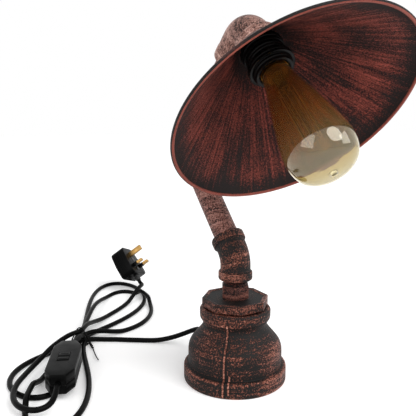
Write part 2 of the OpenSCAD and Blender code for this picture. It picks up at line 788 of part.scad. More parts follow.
// Cage of straight strands between two discs on the post
module filament() color("#d9a066") at_head() {
    top_s = foot_s + foot_length + cut_past;
    for (s = [top_s, top_s + strand_length - disc_height]) translate([0, 0, s])
        sleeve(cage_radius + cut_past, post_radius + lay_gap, disc_height);
    for (i = [0 : strand_count - 1]) rotate([0, 0, 360 * i / strand_count])
        translate([cage_radius, 0, top_s]) cylinder(r = strand_radius, h = strand_length - disc_height / 2);
}

// --- Cord ----------------------------------------------------------------------------------------
module cord_lead() color("#101010") tube(lead_route, cord_radius, cord_sides);

module cord_hank() color("#101010") {
    tube(hank_route, cord_radius, hank_sides);
    echo(least_gap_in_hank = apart(fine(hank_route, 3), 7) - cord_diameter);
}

module cord_tail() color("#101010") tube(
    [
        switch_exit, past_switch(0), past_switch(cord_diameter),
        each tail_route,
        plug_point(-plug_relief_length - cord_diameter), plug_point(-plug_relief_length), plug_point(cord_grip)
    ],
    cord_radius, cord_sides
);

// Wire tie: a band round the waist, a twist beside it and its free end
module twist_tie() color("#0c0c0c") {
    inner = cord_radius + 0.85;
    translate([waist[0], waist[1], 0]) rotate([90, 0, waist_heading + 90]) translate([0, 0, tie_past])
        difference() {
            tie_outline(inner + tie_thickness, tie_width);
            translate([0, 0, -cut_past]) tie_outline(inner, tie_width + 2 * cut_past);
        }
    tube([
        [-114.6, 158.8, 4.9], [-113, 152, 4.5], [-115, 140, 2.5], [-118, 124, 1.6], [-120, 107, 1.5]
    ], 1, 8);
}

module tie_outline(radius, width) linear_extrude(width) hull()
    for (slot = [slot_lead, slot_left, slot_crown])
        translate([slot[0] * strand_step, slot_z(slot)]) circle(r = radius, $fn = 24);

// --- Switch ----------------------------------------------------------------------------------------
module switch_plan(inset) {
    half = switch_length / 2 - inset;
    wide = switch_width / 2 - inset;
    narrow = switch_end_half - inset;
    shoulder = switch_length / 2 - switch_taper;
    polygon([
        [-half, -narrow], [-shoulder, -wide], [shoulder, -wide], [half, -narrow],
        [half, narrow], [shoulder, wide], [-shoulder, wide], [-half, narrow]
    ]);
}

module cord_notches() for (end = [-1, 1])
    translate([end * (switch_length - switch_wall) / 2, 0, switch_split]) rotate([0, 90, 0])
        cylinder(r = relief_bore, h = switch_wall + 2 * cut_past, center = true);

module switch_screw_places() for (end = [-1, 1])
    translate([end * (switch_length / 2 - switch_taper - 4), 0, 0]) children();

module switch_base() color("#0e0e0e") at_switch() difference() {
    union() {
        difference() {
            linear_extrude(switch_split - lay_gap) switch_plan(0);
            translate([0, 0, switch_wall]) linear_extrude(switch_height) switch_plan(switch_wall);
        }
        switch_screw_places() cylinder(r = 3.5, h = switch_split - lay_gap);
    }
    switch_screw_places() translate([0, 0, -cut_past])
        cylinder(r = 1.5 + thread_gap, h = switch_split + 2 * cut_past);
    switch_screw_places() translate([0, 0, -cut_past]) cylinder(r = 2.8, h = 1.5 + cut_past);
    cord_notches();
}

module switch_cover() color("#101010") at_switch() difference() {
    union() {
        difference() {
            translate([0, 0, switch_split]) linear_extrude(switch_height - switch_split) switch_plan(0);
            translate([0, 0, -switch_wall]) linear_extrude(switch_height) switch_plan(switch_wall);
        }
        switch_screw_places() translate([0, 0, switch_split])
            cylinder(r = 3.5, h = switch_height - switch_split - 0.5);
        // Cheeks that hold the rocker's pivot
        for (side = [-1, 1]) translate([-3.5, side * (rocker_width / 2 + 1.7) - 1, switch_height - 8.5])
            cube([7, 2, 8]);
    }
    translate([-rocker_length / 2 - turn_gap, -rocker_width / 2 - turn_gap, switch_split])
        cube([rocker_length + 2 * turn_gap, rocker_width + 2 * turn_gap, switch_height]);
    translate([0, 0, switch_height - 5]) rotate([90, 0, 0])
        cylinder(r = rocker_pin + thread_gap, h = rocker_width + 6, center = true);
    switch_screw_places() cylinder(r = 1.5 + thread_gap, h = switch_split + 5);
    cord_notches();
}

module switch_rocker() color("#1d1d1d") at_switch() {
    translate([0, 0, switch_height - 5]) rotate([90, 0, 0]) {
        cylinder(r = rocker_pin, h = rocker_width + 4, center = true);
        translate([0, 0, -rocker_width / 2]) linear_extrude(rocker_width) polygon([
            [-rocker_length / 2 + 0.8, 1], [-rocker_length / 2 + 0.8, 5.8], [0, 4.6],
            [rocker_length / 2 - 0.8, 5.8], [rocker_length / 2 - 0.8, 1], [3, -2.5], [-3, -2.5]
        ]);
    }
}

module switch_contacts() color("#c9a24a") at_switch() for (side = [-1, 1])
    translate([side * 11 - 4, -4, switch_wall]) cube([8, 8, 6]);

module switch_screws() color("#777777") at_switch() switch_screw_places() {
    cylinder(r = 2.6, h = 1.4);
    cylinder(r = 1.5, h = switch_split + 4);
}

// --- Plug ------------------------------------------------------------------------------------------
// Outline of the plug seen from its pins: round-cornered, drawn in toward the earth end
module plug_plan(inset) {
    corner = 7 - inset;
    side = plug_width / 2 - 7;
    low = -plug_height / 2 + 7;
    hull() {
        for (x = [-side, side]) translate([x, low]) circle(r = corner, $fn = 32);
        for (x = [-side, side]) translate([x, low + 16]) circle(r = corner, $fn = 32);
        for (x = [-side + 6, side - 6]) translate([x, plug_height / 2 - 7]) circle(r = corner, $fn = 32);
    }
}

// Pin side: the face that carries the pins, hollow behind
module plug_body() color("#0f0f0f") at_plug() difference() {
    translate([0, 0, plug_depth / 2 - plug_split]) linear_extrude(plug_split) plug_plan(0);
    translate([0, 0, plug_depth / 2 - plug_split - cut_past])
        linear_extrude(plug_split + cut_past - 3) plug_plan(plug_wall);
    translate([0, earth_pin_at, 0]) pin_cut(earth_pin_size);
    for (side = [-1, 1]) translate([side * line_pin_apart / 2, line_pin_at, 0]) pin_cut(line_pin_size);
    translate([0, fuse_at, plug_depth / 2 - 3 - cut_past])
        linear_extrude(3 + 2 * cut_past)
            square([fuse_size[0] + 2 * turn_gap, fuse_size[1] + 2 * turn_gap], center = true);
    cord_way();
    translate([0, plug_screw_at, plug_depth / 2 - 6]) cylinder(r = 1.6 + thread_gap, h = 8);
}

module pin_cut(size) linear_extrude(plug_depth)
    square([size[0] + 2 * lay_gap, size[1] + 2 * lay_gap], center = true);

module cord_way() translate([0, -plug_height / 2 - cut_past, plug_depth / 2 - plug_split])
    rotate([-90, 0, 0]) cylinder(r = relief_bore + 1.5, h = plug_wall + 3 * cut_past);

module plug_cover() color("#0f0f0f") at_plug() difference() {
    translate([0, 0, -plug_depth / 2]) linear_extrude(plug_depth - plug_split - lay_gap) plug_plan(0);
    translate([0, 0, -plug_depth / 2 + plug_wall]) linear_extrude(plug_depth) plug_plan(plug_wall);
    cord_way();
}

// Sleeve that takes the cord's bend where it enters the plug
module plug_relief() color("#0f0f0f") at_plug()
    translate([0, -plug_height / 2 - plug_relief_length, plug_depth / 2 - plug_split])
        rotate([-90, 0, 0]) difference() {
            union() {
                cylinder(
                    r1 = relief_bore + 0.8,
                    r2 = relief_bore + 1.4,
                    h = plug_relief_length + plug_wall + cut_past
                );
                translate([0, 0, plug_relief_length + plug_wall + lay_gap / 2])
                    cylinder(r = relief_bore + 3, h = 2);
            }
            translate([0, 0, -cut_past]) cylinder(r = relief_bore, h = plug_relief_length + 12);
        }

module earth_pin() color("#c08a3e") at_plug() translate([0, earth_pin_at, plug_depth / 2 - plug_split])
    linear_extrude(plug_split + earth_pin_length) square(earth_pin_size, center = true);

module line_pins() color("#c08a3e") at_plug() for (side = [-1, 1])
    translate([side * line_pin_apart / 2, line_pin_at, plug_depth / 2 - plug_split])
        linear_extrude(plug_split + line_pin_length) square(line_pin_size, center = true);

// Insulating sleeves round the roots of the line pins
module pin_sleeves() color("#0f0f0f") at_plug() for (side = [-1, 1])
    translate([side * line_pin_apart / 2, line_pin_at, plug_depth / 2]) linear_extrude(8) difference() {
        square([line_pin_size[0] + 1, line_pin_size[1] + 1], center = true);
        square([line_pin_size[0] + 0.1, line_pin_size[1] + 0.1], center = true);
    }

module fuse_carrier() color("#2a1414") at_plug() translate([0, fuse_at, plug_depth / 2 - 3])
    linear_extrude(3.2) square(fuse_size, center = true);

module plug_fuse() color("#d8d2c0") at_plug() translate([0, fuse_at, plug_depth / 2 - 6.4])
    rotate([90, 0, 0]) cylinder(r = 3.15, h = fuse_size[1], center = true);

module plug_screw() color("#777777") at_plug() {
    translate([0, plug_screw_at, plug_depth / 2 - 5]) cylinder(r = 1.6, h = 5);
    translate([0, plug_screw_at, plug_depth / 2]) cylinder(r = 2.8, h = 0.8);
}

base_reducer();
base_plate();
base_pad();
plate_screws();
octagon_bushing();
hex_nipple();
cord_gland();
cable_in_base();
lower_elbow();
lower_pipe();
cable_in_lower_arm();
middle_elbow();
upper_pipe();
cable_in_upper_arm();
top_elbow();
head_plug();
holder_stud();
stud_nuts();
cable_in_head();
shade_washer();
shade();
holder_cap();
holder_body();
holder_ring();
holder_insert();
screw_shell();
centre_contact();
bulb_glass();
bulb_cap();
bulb_insulator();
bulb_contact();
bulb_stem();
filament();
cord_lead();
cord_hank();
cord_tail();
twist_tie();
switch_base();
switch_cover();
switch_rocker();
switch_contacts();
switch_screws();
plug_body();
plug_cover();
plug_relief();
earth_pin();
line_pins();
pin_sleeves();
fuse_carrier();
plug_fuse();
plug_screw();
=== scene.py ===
from math import atan2, cos, hypot, pi, radians, sin, sqrt, tan

import bpy
from mathutils import Euler, Matrix, Vector


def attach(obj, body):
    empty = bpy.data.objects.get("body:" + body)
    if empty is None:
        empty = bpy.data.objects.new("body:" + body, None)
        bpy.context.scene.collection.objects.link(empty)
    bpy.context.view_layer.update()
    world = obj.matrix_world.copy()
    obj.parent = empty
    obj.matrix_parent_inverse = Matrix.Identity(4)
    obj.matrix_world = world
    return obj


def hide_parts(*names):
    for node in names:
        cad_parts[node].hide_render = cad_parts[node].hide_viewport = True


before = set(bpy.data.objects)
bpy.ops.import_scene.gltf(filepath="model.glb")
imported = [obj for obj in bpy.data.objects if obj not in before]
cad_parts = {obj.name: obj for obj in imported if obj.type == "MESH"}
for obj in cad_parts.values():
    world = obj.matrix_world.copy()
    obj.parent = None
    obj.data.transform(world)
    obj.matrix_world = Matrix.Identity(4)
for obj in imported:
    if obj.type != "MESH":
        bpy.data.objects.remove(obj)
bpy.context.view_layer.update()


# --- Studio --------------------------------------------------------------------------------------
# A white table and backdrop under plain soft light, seen from the photograph's place.
# The lamps give a level at which a colour renders about as it is written.

def linear(code):
    """An sRGB hex colour as linear numbers."""
    parts = [int(code[i:i + 2], 16) / 255 for i in (1, 3, 5)]
    return (*[p / 12.92 if p <= 0.04045 else ((p + 0.055) / 1.055) ** 2.4 for p in parts], 1.0)


def feed(item, inputs):
    """Sets a node's sockets: a socket is linked, a plain value is written."""
    for key, value in inputs.items():
        socket = item.inputs[key]
        if isinstance(value, bpy.types.NodeSocket):
            item.id_data.links.new(value, socket)
        else:
            socket.default_value = value


def node(tree, kind, inputs={}, **settings):
    """Adds a node with its settings and links."""
    made = tree.nodes.new("ShaderNode" + kind)
    for key, value in settings.items():
        setattr(made, key, value)
    feed(made, inputs)
    return made


def new_material(name):
    """A material with its node tree and its surface shader."""
    made = bpy.data.materials.new(name)
    made.use_nodes = True
    return made, made.node_tree, made.node_tree.nodes["Principled BSDF"]


def background_rays(tree):
    """1 for the rays that show the background: straight on, in a gloss or through glass."""
    rays = node(tree, "LightPath").outputs
    seen = node(tree, "Math", {0: rays["Is Camera Ray"], 1: rays["Is Glossy Ray"]},
                operation="MAXIMUM").outputs[0]
    return node(tree, "Math", {0: seen, 1: rays["Is Transmission Ray"]},
                operation="MAXIMUM").outputs[0]


scene = bpy.context.scene
CAMERA_AT = (-0.32047, -0.49785, 0.28947)
CAMERA_HEADING = 29.92
CAMERA_DIP = 9.72
CAMERA_LENS = 49.28
camera_data = bpy.data.cameras.new("camera")
camera_data.lens = CAMERA_LENS
camera_data.sensor_width = 36
camera = bpy.data.objects.new("camera", camera_data)
camera.location = CAMERA_AT
camera.rotation_euler = (radians(90 - CAMERA_DIP), 0, radians(-CAMERA_HEADING))
scene.collection.objects.link(camera)
scene.camera = camera

bpy.ops.object.select_all(action="DESELECT")
TABLE_SIZE = 12
bpy.ops.mesh.primitive_plane_add(size=TABLE_SIZE)
floor = bpy.context.object
floor.name = "white_table"
# Matt white laminate: no gloss, and a faint glow that lifts all but the object's shadow
WHITE = linear("#ffffff")
TABLE_GLOW = 0.2
floor_paint, tree, shader = new_material("white_table_laminate")
glow = node(tree, "Math", {0: background_rays(tree), 1: TABLE_GLOW}, operation="MULTIPLY")
feed(shader, {"Base Color": WHITE, "Roughness": 0.9, "Specular IOR Level": 0.0,
              "Emission Color": WHITE, "Emission Strength": glow.outputs[0]})
floor.data.materials.append(floor_paint)

world = bpy.data.worlds.new("white_room")
scene.world = world
world.use_nodes = True
tree = world.node_tree
sky = tree.nodes["Background"]
# The room is seen as plain white, and lights the object at half of that
SKY_LIGHT = 0.5
level = node(tree, "MapRange", {"Value": background_rays(tree), "To Min": SKY_LIGHT, "To Max": 1.0})
feed(sky, {"Color": WHITE, "Strength": level.outputs[0]})


def add_light(name, kind, energy, turn, at=(0, 0, 1), **settings):
    """A lamp that shines along its own -Z, turned by angles in degrees."""
    data = bpy.data.lights.new(name, kind)
    data.energy = energy
    for key, value in settings.items():
        setattr(data, key, value)
    lamp = bpy.data.objects.new(name, data)
    lamp.location = at
    lamp.rotation_euler = [radians(a) for a in turn]
    scene.collection.objects.link(lamp)


WINDOW_POWER = 3.5
add_light("key_light", "SUN", energy=1.75, turn=(42, 0, 18), angle=radians(40))
add_light("window_left", "AREA", WINDOW_POWER, turn=(62, 0, -75), at=(-0.95, -0.25, 0.75), size=0.7)
add_light("window_right", "AREA", WINDOW_POWER, turn=(60, 0, 40), at=(0.75, -0.85, 0.75), size=0.6)
scene.view_settings.view_transform = "Standard"


# --- Mains flex ----------------------------------------------------------------------------------
# Round three-core flex, 6 mm, in smooth black PVC. It runs from the gland to a bundle of
# four loops held by a wire tie, through the inline switch and back over the tie to the plug.

MM = 0.001
CORD_DIAMETER = 6
CORD_RADIUS = CORD_DIAMETER / 2
# The route from the gland to the waist of the bundle
LEAD_ROUTE = [
    (0, 78, 25), (0, 84, 25), (-4, 94, 20), (-12, 104, 13.5), (-23, 113, 8), (-36, 123, 4),
    (-50, 133, 3), (-65, 143, 3), (-80, 153.5, 3), (-90, 159.5, 3), (-98, 164.3, 3),
    (-103.8, 166.6, 3.6), (-109.8, 166.8, 4.3),
]
# The route from the switch, over the waist again, to the plug
TAIL_ROUTE = [
    (-191.5, 25.5, 16), (-196.5, 18.5, 13.5), (-203, 14.5, 11.5), (-212, 14, 10.8),
    (-220.5, 20, 10.6), (-226, 32, 10.4), (-227, 47, 10.2), (-224, 62, 10.2), (-217, 78, 10.4),
    (-207, 94, 9.8), (-194, 111, 10), (-180, 126, 12), (-165, 140, 15.5), (-150, 150.5, 18.2),
    (-139, 157, 19.4), (-130, 162, 19), (-121, 168, 18), (-114.5, 175.5, 18), (-105, 190, 16),
    (-91, 209, 10), (-75, 226, 5), (-59, 240, 3), (-43, 252, 3), (-28, 264, 3.2), (-14, 276, 4.5),
    (-2, 287, 9), (8, 296, 13.4), (16.5, 304, 15.4), (23, 311, 15.4), (26.5, 317.5, 14.8),
]
WAIST = Vector((-121, 168))
WAIST_HEADING = -131
SWITCH_WAY = -121
STRAND_STEP = CORD_DIAMETER + 0.8
LEVEL_STEP = CORD_DIAMETER + 0.5
WAIST_LIFT = 1.9
# Places of the strands in the tied waist: sideways in steps, and level
LEAD, MID, LEFT, RIGHT_UP, LEFT_UP, CROWN = (1, 0), (0, 0), (-1, 0), (0.5, 1), (-0.5, 1), (0, 2)
# Each loop: slot out, slot back, side, pull and heading out, pull and heading back, straight
# run at the waist, shares held at full level, share and half width of the rise
LOOPS = [
    (LEAD, MID, 1, 300, -85, 350, -140, 72, 0, 0, 0.745, 0.07),
    (MID, LEFT, -1, 290, 0, 530, 79, 110, 0, 0, -1, 0.07),
    (LEFT, LEFT_UP, 1, 220, -185, 320, -97, 54, 0, 0.035, -1, 0.07),
    (LEFT_UP, RIGHT_UP, -1, 555, 70, 265, -38, 63, 0.15, 0.05, 0.525, 0.08),
]
RINGS_PER_LOOP = 48
FALL_SHARE = 0.13
RISE = LEVEL_STEP + 0.9


def heading(angle):
    """The way across the table at an angle in degrees."""
    return Vector((cos(radians(angle)), sin(radians(angle))))


def pulled(points, t):
    """The point at share t of the curve that a list of control points pulls."""
    while len(points) > 1:
        points = [a.lerp(b, t) for a, b in zip(points, points[1:])]
    return points[0]


def fall(u):
    """1 at the start of a fall, 0 at its end."""
    u = min(max(u, 0), 1)
    return 1 - u * u * (3 - 2 * u)


def swell(share, at, half):
    """A smooth rise round the share at, and 0 further off than half."""
    return 0 if abs(share - at) >= half else min(1, 0.9 * (1 + cos(pi * (share - at) / half)))


def slot_xy(slot):
    """Where a strand crosses the waist, seen from above."""
    return WAIST + slot[0] * STRAND_STEP * heading(WAIST_HEADING + 90)


def slot_z(slot):
    """How high a strand lies where it crosses the waist."""
    return CORD_RADIUS + WAIST_LIFT + slot[1] * LEVEL_STEP


def loop_point(loop, share):
    """The point at a share of a loop's way round."""
    (out, back, side, out_pull, out_way, back_pull, back_way, straight,
     hold_out, hold_back, rise_at, rise_half) = loop
    run = side * straight * heading(WAIST_HEADING)
    x, y = pulled([
        slot_xy(out), slot_xy(out) + run, slot_xy(out) + out_pull * heading(out_way),
        slot_xy(back) + back_pull * heading(back_way), slot_xy(back) + run, slot_xy(back),
    ], share)
    level = (
        CORD_RADIUS
        + (slot_z(out) - CORD_RADIUS) * fall((share - hold_out) / FALL_SHARE)
        + (slot_z(back) - CORD_RADIUS) * fall((1 - share - hold_back) / FALL_SHARE)
    )
    return (x, y, max(level, CORD_RADIUS + RISE * swell(share, rise_at, rise_half)))


SWITCH_AT = (-167, 80, 7.4)
SWITCH_HEADING = -114
SWITCH_LENGTH = 90
SWITCH_SPLIT = 11
CORD_GRIP = 5


def on_switch(along):
    """A point on the flex's axis through the switch."""
    x, y = heading(SWITCH_HEADING) * along
    return (SWITCH_AT[0] + x, SWITCH_AT[1] + y, SWITCH_AT[2] + SWITCH_SPLIT)


def past_waist(distance, z):
    """A point at a distance past the waist on the way to the switch."""
    x, y = slot_xy(RIGHT_UP) + distance * heading(SWITCH_WAY)
    return (x, y, z)


# Distances past the waist and heights where the flex climbs over the loops
CLIMB = [(0, slot_z(RIGHT_UP)), (3.5, slot_z(RIGHT_UP)), (10, 14.8), (17, 17.6), (25, 18.4)]

PLUG_AT = (16, 350, 41)
PLUG_TURN = (50, 20, 41)
PLUG_HEIGHT = 49
PLUG_DEPTH = 24
PLUG_SPLIT = 9
PLUG_RELIEF = 8


def plug_point(inside):
    """A point on the flex's axis in the plug, at a distance inside the plug's cord end."""
    turn = Euler([radians(a) for a in PLUG_TURN])
    local = Vector((0, inside - PLUG_HEIGHT / 2, PLUG_DEPTH / 2 - PLUG_SPLIT))
    return Vector(PLUG_AT) + turn.to_matrix() @ local


def eased(points, steps):
    """More points on a smooth line through the given ones."""
    points = [Vector(p) for p in points]
    ends = [2 * points[0] - points[1], *points, 2 * points[-1] - points[-2]]
    line = []
    for a, b, c, d in zip(ends, ends[1:], ends[2:], ends[3:]):
        for i in range(steps):
            t = i / steps
            line.append(0.5 * (
                2 * b + (c - a) * t + (2 * a - 5 * b + 4 * c - d) * t * t
                + (3 * b - a - 3 * c + d) * t ** 3
            ))
    return [*line, points[-1]]


def laid(points, steps):
    """A smooth line of flex through the given points that doesn't sink into the table."""
    return [Vector((x, y, max(z, CORD_RADIUS))) for x, y, z in eased(points, steps)]


def add_wire(name, points, radius):
    """A round wire or flex that follows points given in millimetres."""
    data = bpy.data.curves.new(name, "CURVE")
    data.dimensions = "3D"
    data.bevel_depth = radius * MM
    data.bevel_resolution = 4
    data.use_fill_caps = True
    spline = data.splines.new("POLY")
    spline.points.add(len(points) - 1)
    for target, point in zip(spline.points, points):
        target.co = (*[c * MM for c in point], 1)
    wire = bpy.data.objects.new(name, data)
    scene.collection.objects.link(wire)
    return wire


def per(size):
    """The scale of a pattern whose marks are about size millimetres across."""
    return 1 / (size * MM)


# Smooth PVC: even satin gloss, with the faint waviness of an extruded sheath
flex_pvc, tree, shader = new_material("extruded_black_pvc")
where = node(tree, "TexCoord").outputs["Object"]
wave = node(tree, "TexNoise", {"Vector": where, "Scale": per(6.25), "Detail": 2.0}).outputs["Fac"]
tone = node(tree, "MapRange", {"Value": wave, "To Min": 0.3, "To Max": 0.46}).outputs[0]
bump = node(tree, "Bump", {"Height": wave, "Strength": 0.12, "Distance": 0.0006})
feed(shader, {"Base Color": linear("#040404"), "Roughness": tone, "IOR": 1.53,
              "Specular IOR Level": 0.05, "Normal": bump.outputs[0]})

lead_line = laid([
    *LEAD_ROUTE,
    *[loop_point(loop, i / RINGS_PER_LOOP) for loop in LOOPS for i in range(RINGS_PER_LOOP)],
    *[past_waist(distance, z) for distance, z in CLIMB],
    on_switch(-SWITCH_LENGTH / 2 - CORD_DIAMETER), on_switch(-SWITCH_LENGTH / 2),
    on_switch(CORD_GRIP - SWITCH_LENGTH / 2),
], 3)
flex_to_switch = add_wire("flex_to_switch", lead_line, CORD_RADIUS)
flex_to_switch.data.materials.append(flex_pvc)
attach(flex_to_switch, "base")
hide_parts("cord_lead", "cord_hank")

tail_line = laid([
    on_switch(SWITCH_LENGTH / 2 - CORD_GRIP), on_switch(SWITCH_LENGTH / 2),
    on_switch(SWITCH_LENGTH / 2 + CORD_DIAMETER), *TAIL_ROUTE,
    plug_point(-PLUG_RELIEF - CORD_DIAMETER), plug_point(-PLUG_RELIEF), plug_point(CORD_GRIP),
], 4)
flex_to_plug = add_wire("flex_to_plug", tail_line, CORD_RADIUS)
flex_to_plug.data.materials.append(flex_pvc)
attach(flex_to_plug, "base")
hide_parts("cord_tail")


# --- Base casting --------------------------------------------------------------------------------
# A malleable-iron pipe reducer stands on its wide end as the foot. It is sand cast, so it
# has a grainy skin and a parting rib down both sides, and its threaded collar is machined.
# The lamp is painted black and then dry-brushed with antique red, which catches the edges.

def select_only(piece):
    """Makes a piece the one that operators act on."""
    bpy.ops.object.select_all(action="DESELECT")
    piece.select_set(True)
    bpy.context.view_layer.objects.active = piece


def reopen(piece):
    """Opens a finished mesh for editing again."""
    select_only(piece)
    bpy.ops.object.mode_set(mode="EDIT")


def start_ring(name, radius, z, sides=96, filled=False):
    """A circle at a height, open for editing and selected all over."""
    bpy.ops.object.select_all(action="DESELECT")
    bpy.ops.mesh.primitive_circle_add(
        vertices=sides, radius=radius * MM, fill_type="NGON" if filled else "NOTHING"
    )
    piece = bpy.context.object
    piece.name = name
    bpy.ops.object.mode_set(mode="EDIT")
    bpy.ops.mesh.select_mode(type="VERT")
    bpy.ops.mesh.select_all(action="SELECT")
    bpy.ops.transform.translate(value=(0, 0, z * MM))
    return piece


def draw_out(at, way, stations):
    """Extrudes the selected ring along way, through (distance from at, radius) stations.
    The first station is where the ring already is."""
    for (s_a, r_a), (s_b, r_b) in zip(stations, stations[1:]):
        bpy.ops.mesh.extrude_region_move(
            TRANSFORM_OT_translate={"value": way * ((s_b - s_a) * MM)}
        )
        ratio = r_b / r_a
        if abs(ratio - 1) > 1e-6:
            bpy.ops.transform.resize(
                value=(ratio, ratio, ratio), center_override=(at + way * s_b) * MM
            )


UP = Vector((0, 0, 1))
HERE = Vector((0, 0, 0))


def close_up(piece, smooth_below=40):
    """Merges doubled points, turns the faces outwards and smooths the soft edges."""
    bpy.ops.mesh.select_all(action="SELECT")
    bpy.ops.mesh.remove_doubles(threshold=0.00001)
    bpy.ops.mesh.select_all(action="SELECT")
    bpy.ops.mesh.normals_make_consistent(inside=False)
    bpy.ops.object.mode_set(mode="OBJECT")
    select_only(piece)
    bpy.ops.object.shade_smooth_by_angle(angle=radians(smooth_below))


def put(piece, at, turn):
    """Places a finished mesh, given in millimetres and degrees, and keeps its object at rest."""
    piece.matrix_world = (
        Matrix.Translation(Vector(at) * MM)
        @ Euler([radians(a) for a in turn]).to_matrix().to_4x4()
    )
    select_only(piece)
    bpy.ops.object.transform_apply(location=True, rotation=True, scale=True)


def turned(name, stations, sides=96, smooth_below=40):
    """A piece turned round the Z axis from (height, radius) stations. Where the last station
    is the first one it is a closed wall, and otherwise a solid with flat ends."""
    wall = stations[0] == stations[-1]
    piece = start_ring(name, stations[0][1], stations[0][0], sides, filled=not wall)
    draw_out(HERE, UP, stations)
    close_up(piece, smooth_below)
    return piece


def rounded(corners, steps=3):
    """Stations with their marked corners rounded: a corner is (height, radius, rounding)."""
    count = len(corners)
    stations = []
    for i, (s, r, soft) in enumerate(corners):
        before, after = corners[i - 1], corners[(i + 1) % count]
        if soft == 0 or i in (0, count - 1):
            stations.append((s, r))
            continue
        here = Vector((s, r))
        back = Vector(before[:2]) - here
        on = Vector(after[:2]) - here
        a = here + back * min(0.45, soft / back.length)
        b = here + on * min(0.45, soft / on.length)
        for k in range(steps + 1):
            t = k / steps
            stations.append(tuple(a.lerp(here, t).lerp(here.lerp(b, t), t)))
    return stations


PATCH = 38.46
STREAK_REACH = 80


def dry_brushed(name, at, turn, around, along, colours, cover, grain=1.5625, radial=False,
                contrast=(1.9, 0.9, 0.6), ramp=0.1, darker_ends=None):
    """Black enamel dry-brushed with antique red: red on the high grains, the edges and in
    the brush's streaks, black in the pores and corners. The pattern's frame has its Z along
    the piece's axis. around and along are the brush marks' sizes in millimetres, round the
    axis and along it. grain is the casting's, drawn coarse enough to show. cover moves the
    share of red, contrast weighs grain, marks and patches, and ramp is how softly the red
    fades out. darker_ends is the middle, half length and loss of red of a piece that is darker
    toward both ends."""
    made, tree, shader = new_material(name)
    black, red, light = colours
    where = node(tree, "TexCoord").outputs["Object"]
    own = node(tree, "Mapping", {
        "Vector": where, "Location": Vector(at) * MM, "Rotation": [radians(a) for a in turn],
    }, vector_type="TEXTURE").outputs[0]
    if radial:
        across = node(tree, "VectorMath", {0: own, 1: (1, 1, 0)}, operation="MULTIPLY").outputs[0]
        way = node(tree, "VectorMath", {0: across}, operation="NORMALIZE").outputs[0]
        spoke = node(tree, "VectorMath", {0: way, 1: (STREAK_REACH / around,) * 3},
                     operation="MULTIPLY").outputs[0]
        rise = node(tree, "VectorMath", {0: own, 1: (0, 0, per(along))},
                    operation="MULTIPLY").outputs[0]
        lined = node(tree, "VectorMath", {0: spoke, 1: rise}, operation="ADD").outputs[0]
    else:
        lined = node(tree, "VectorMath", {0: own, 1: (per(around), per(around), per(along))},
                     operation="MULTIPLY").outputs[0]
    speck = node(tree, "TexNoise", {"Vector": own, "Scale": per(grain), "Detail": 4.0,
                                    "Roughness": 0.75}).outputs["Fac"]
    marks = node(tree, "TexNoise", {"Vector": lined, "Scale": 1.0, "Detail": 4.0,
                                    "Roughness": 0.62, "Distortion": 0.25}).outputs["Fac"]
    patch = node(tree, "TexNoise", {"Vector": own, "Scale": per(PATCH),
                                    "Detail": 2.0}).outputs["Fac"]
    worn = node(tree, "NewGeometry").outputs["Pointiness"]
    total = node(tree, "MapRange", {"Value": worn, "From Min": 0.44, "From Max": 0.56,
                                    "To Min": -0.3, "To Max": 0.3}).outputs[0]
    for pattern, weight in zip((speck, marks, patch), contrast):
        total = node(tree, "Math", {0: pattern, 1: weight, 2: total},
                     operation="MULTIPLY_ADD").outputs[0]
    # The red fades toward both ends of the piece: on the shade, a painted shadow of the lampholder
    # at the middle, and darker paint toward the lip
    if darker_ends:
        centre, half, loss = darker_ends
        height = node(tree, "SeparateXYZ", {"Vector": own}).outputs["Z"]
        off = node(tree, "Math", {0: height, 1: centre * MM}, operation="SUBTRACT").outputs[0]
        off = node(tree, "Math", {0: off}, operation="ABSOLUTE").outputs[0]
        end_fade = node(tree, "MapRange", {"Value": off, "From Min": half * MM * 0.6,
                                       "From Max": half * MM, "To Max": -loss},
                    interpolation_type="SMOOTHSTEP").outputs[0]
        total = node(tree, "Math", {0: total, 1: end_fade}).outputs[0]
    middle = sum(contrast) / 2 - cover
    share = node(tree, "MapRange", {"Value": total, "From Min": middle - ramp,
                                    "From Max": middle + 1.4 * ramp},
                 interpolation_type="SMOOTHSTEP").outputs[0]
    warm = node(tree, "MapRange", {"Value": total, "From Min": middle + 0.1,
                                   "From Max": middle + 0.6}).outputs[0]
    top = node(tree, "Mix", {0: warm, 6: linear(red), 7: linear(light)},
               data_type="RGBA").outputs[2]
    paint = node(tree, "Mix", {0: share, 6: linear(black), 7: top}, data_type="RGBA").outputs[2]
    gloss = node(tree, "MapRange", {"Value": share, "To Min": 0.62, "To Max": 0.4}).outputs[0]
    leaf = node(tree, "MapRange", {"Value": share, "To Max": 0.25}).outputs[0]
    skin = node(tree, "Math", {0: speck, 1: 0.8, 2: share}, operation="MULTIPLY_ADD").outputs[0]
    bump = node(tree, "Bump", {"Height": skin, "Strength": 0.6, "Distance": 0.0006})
    feed(shader, {"Base Color": paint, "Roughness": gloss, "Metallic": leaf,
                  "Specular IOR Level": 0.24, "Normal": bump.outputs[0]})
    return made


def finished(piece, paint, body, slot, *replaced):
    """Paints a piece, names its body and hides the CAD nodes that it replaces. Its slot is not used.
    """
    piece.data.materials.append(paint)
    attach(piece, body)
    if replaced:
        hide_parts(*replaced)


RING_RADIUS = 56
RING_HEIGHT = 16.6
BELL_RADIUS = 51
BELL_TOP = 36
NECK_RADIUS = 34.4
NECK_HEIGHT = 61
COLLAR_RADIUS = 38.4
COLLAR_TOP = 81
CASTING_WALL = 5
COLLAR_BORE = 29.9
BORE_FLOOR = 59
PLATE_RECESS = 4.6
PLATE_RADIUS = 50.3
CAVITY_RADIUS = BELL_RADIUS - CASTING_WALL
RIB_HEADING = -135
RIB_HALF = 0.9
RIB_PROUD = 0.9
RISER_AT = 5.6
RISER_FOOT = 5.5
RISER_TOP = 23
OUTER_SKIN = 33

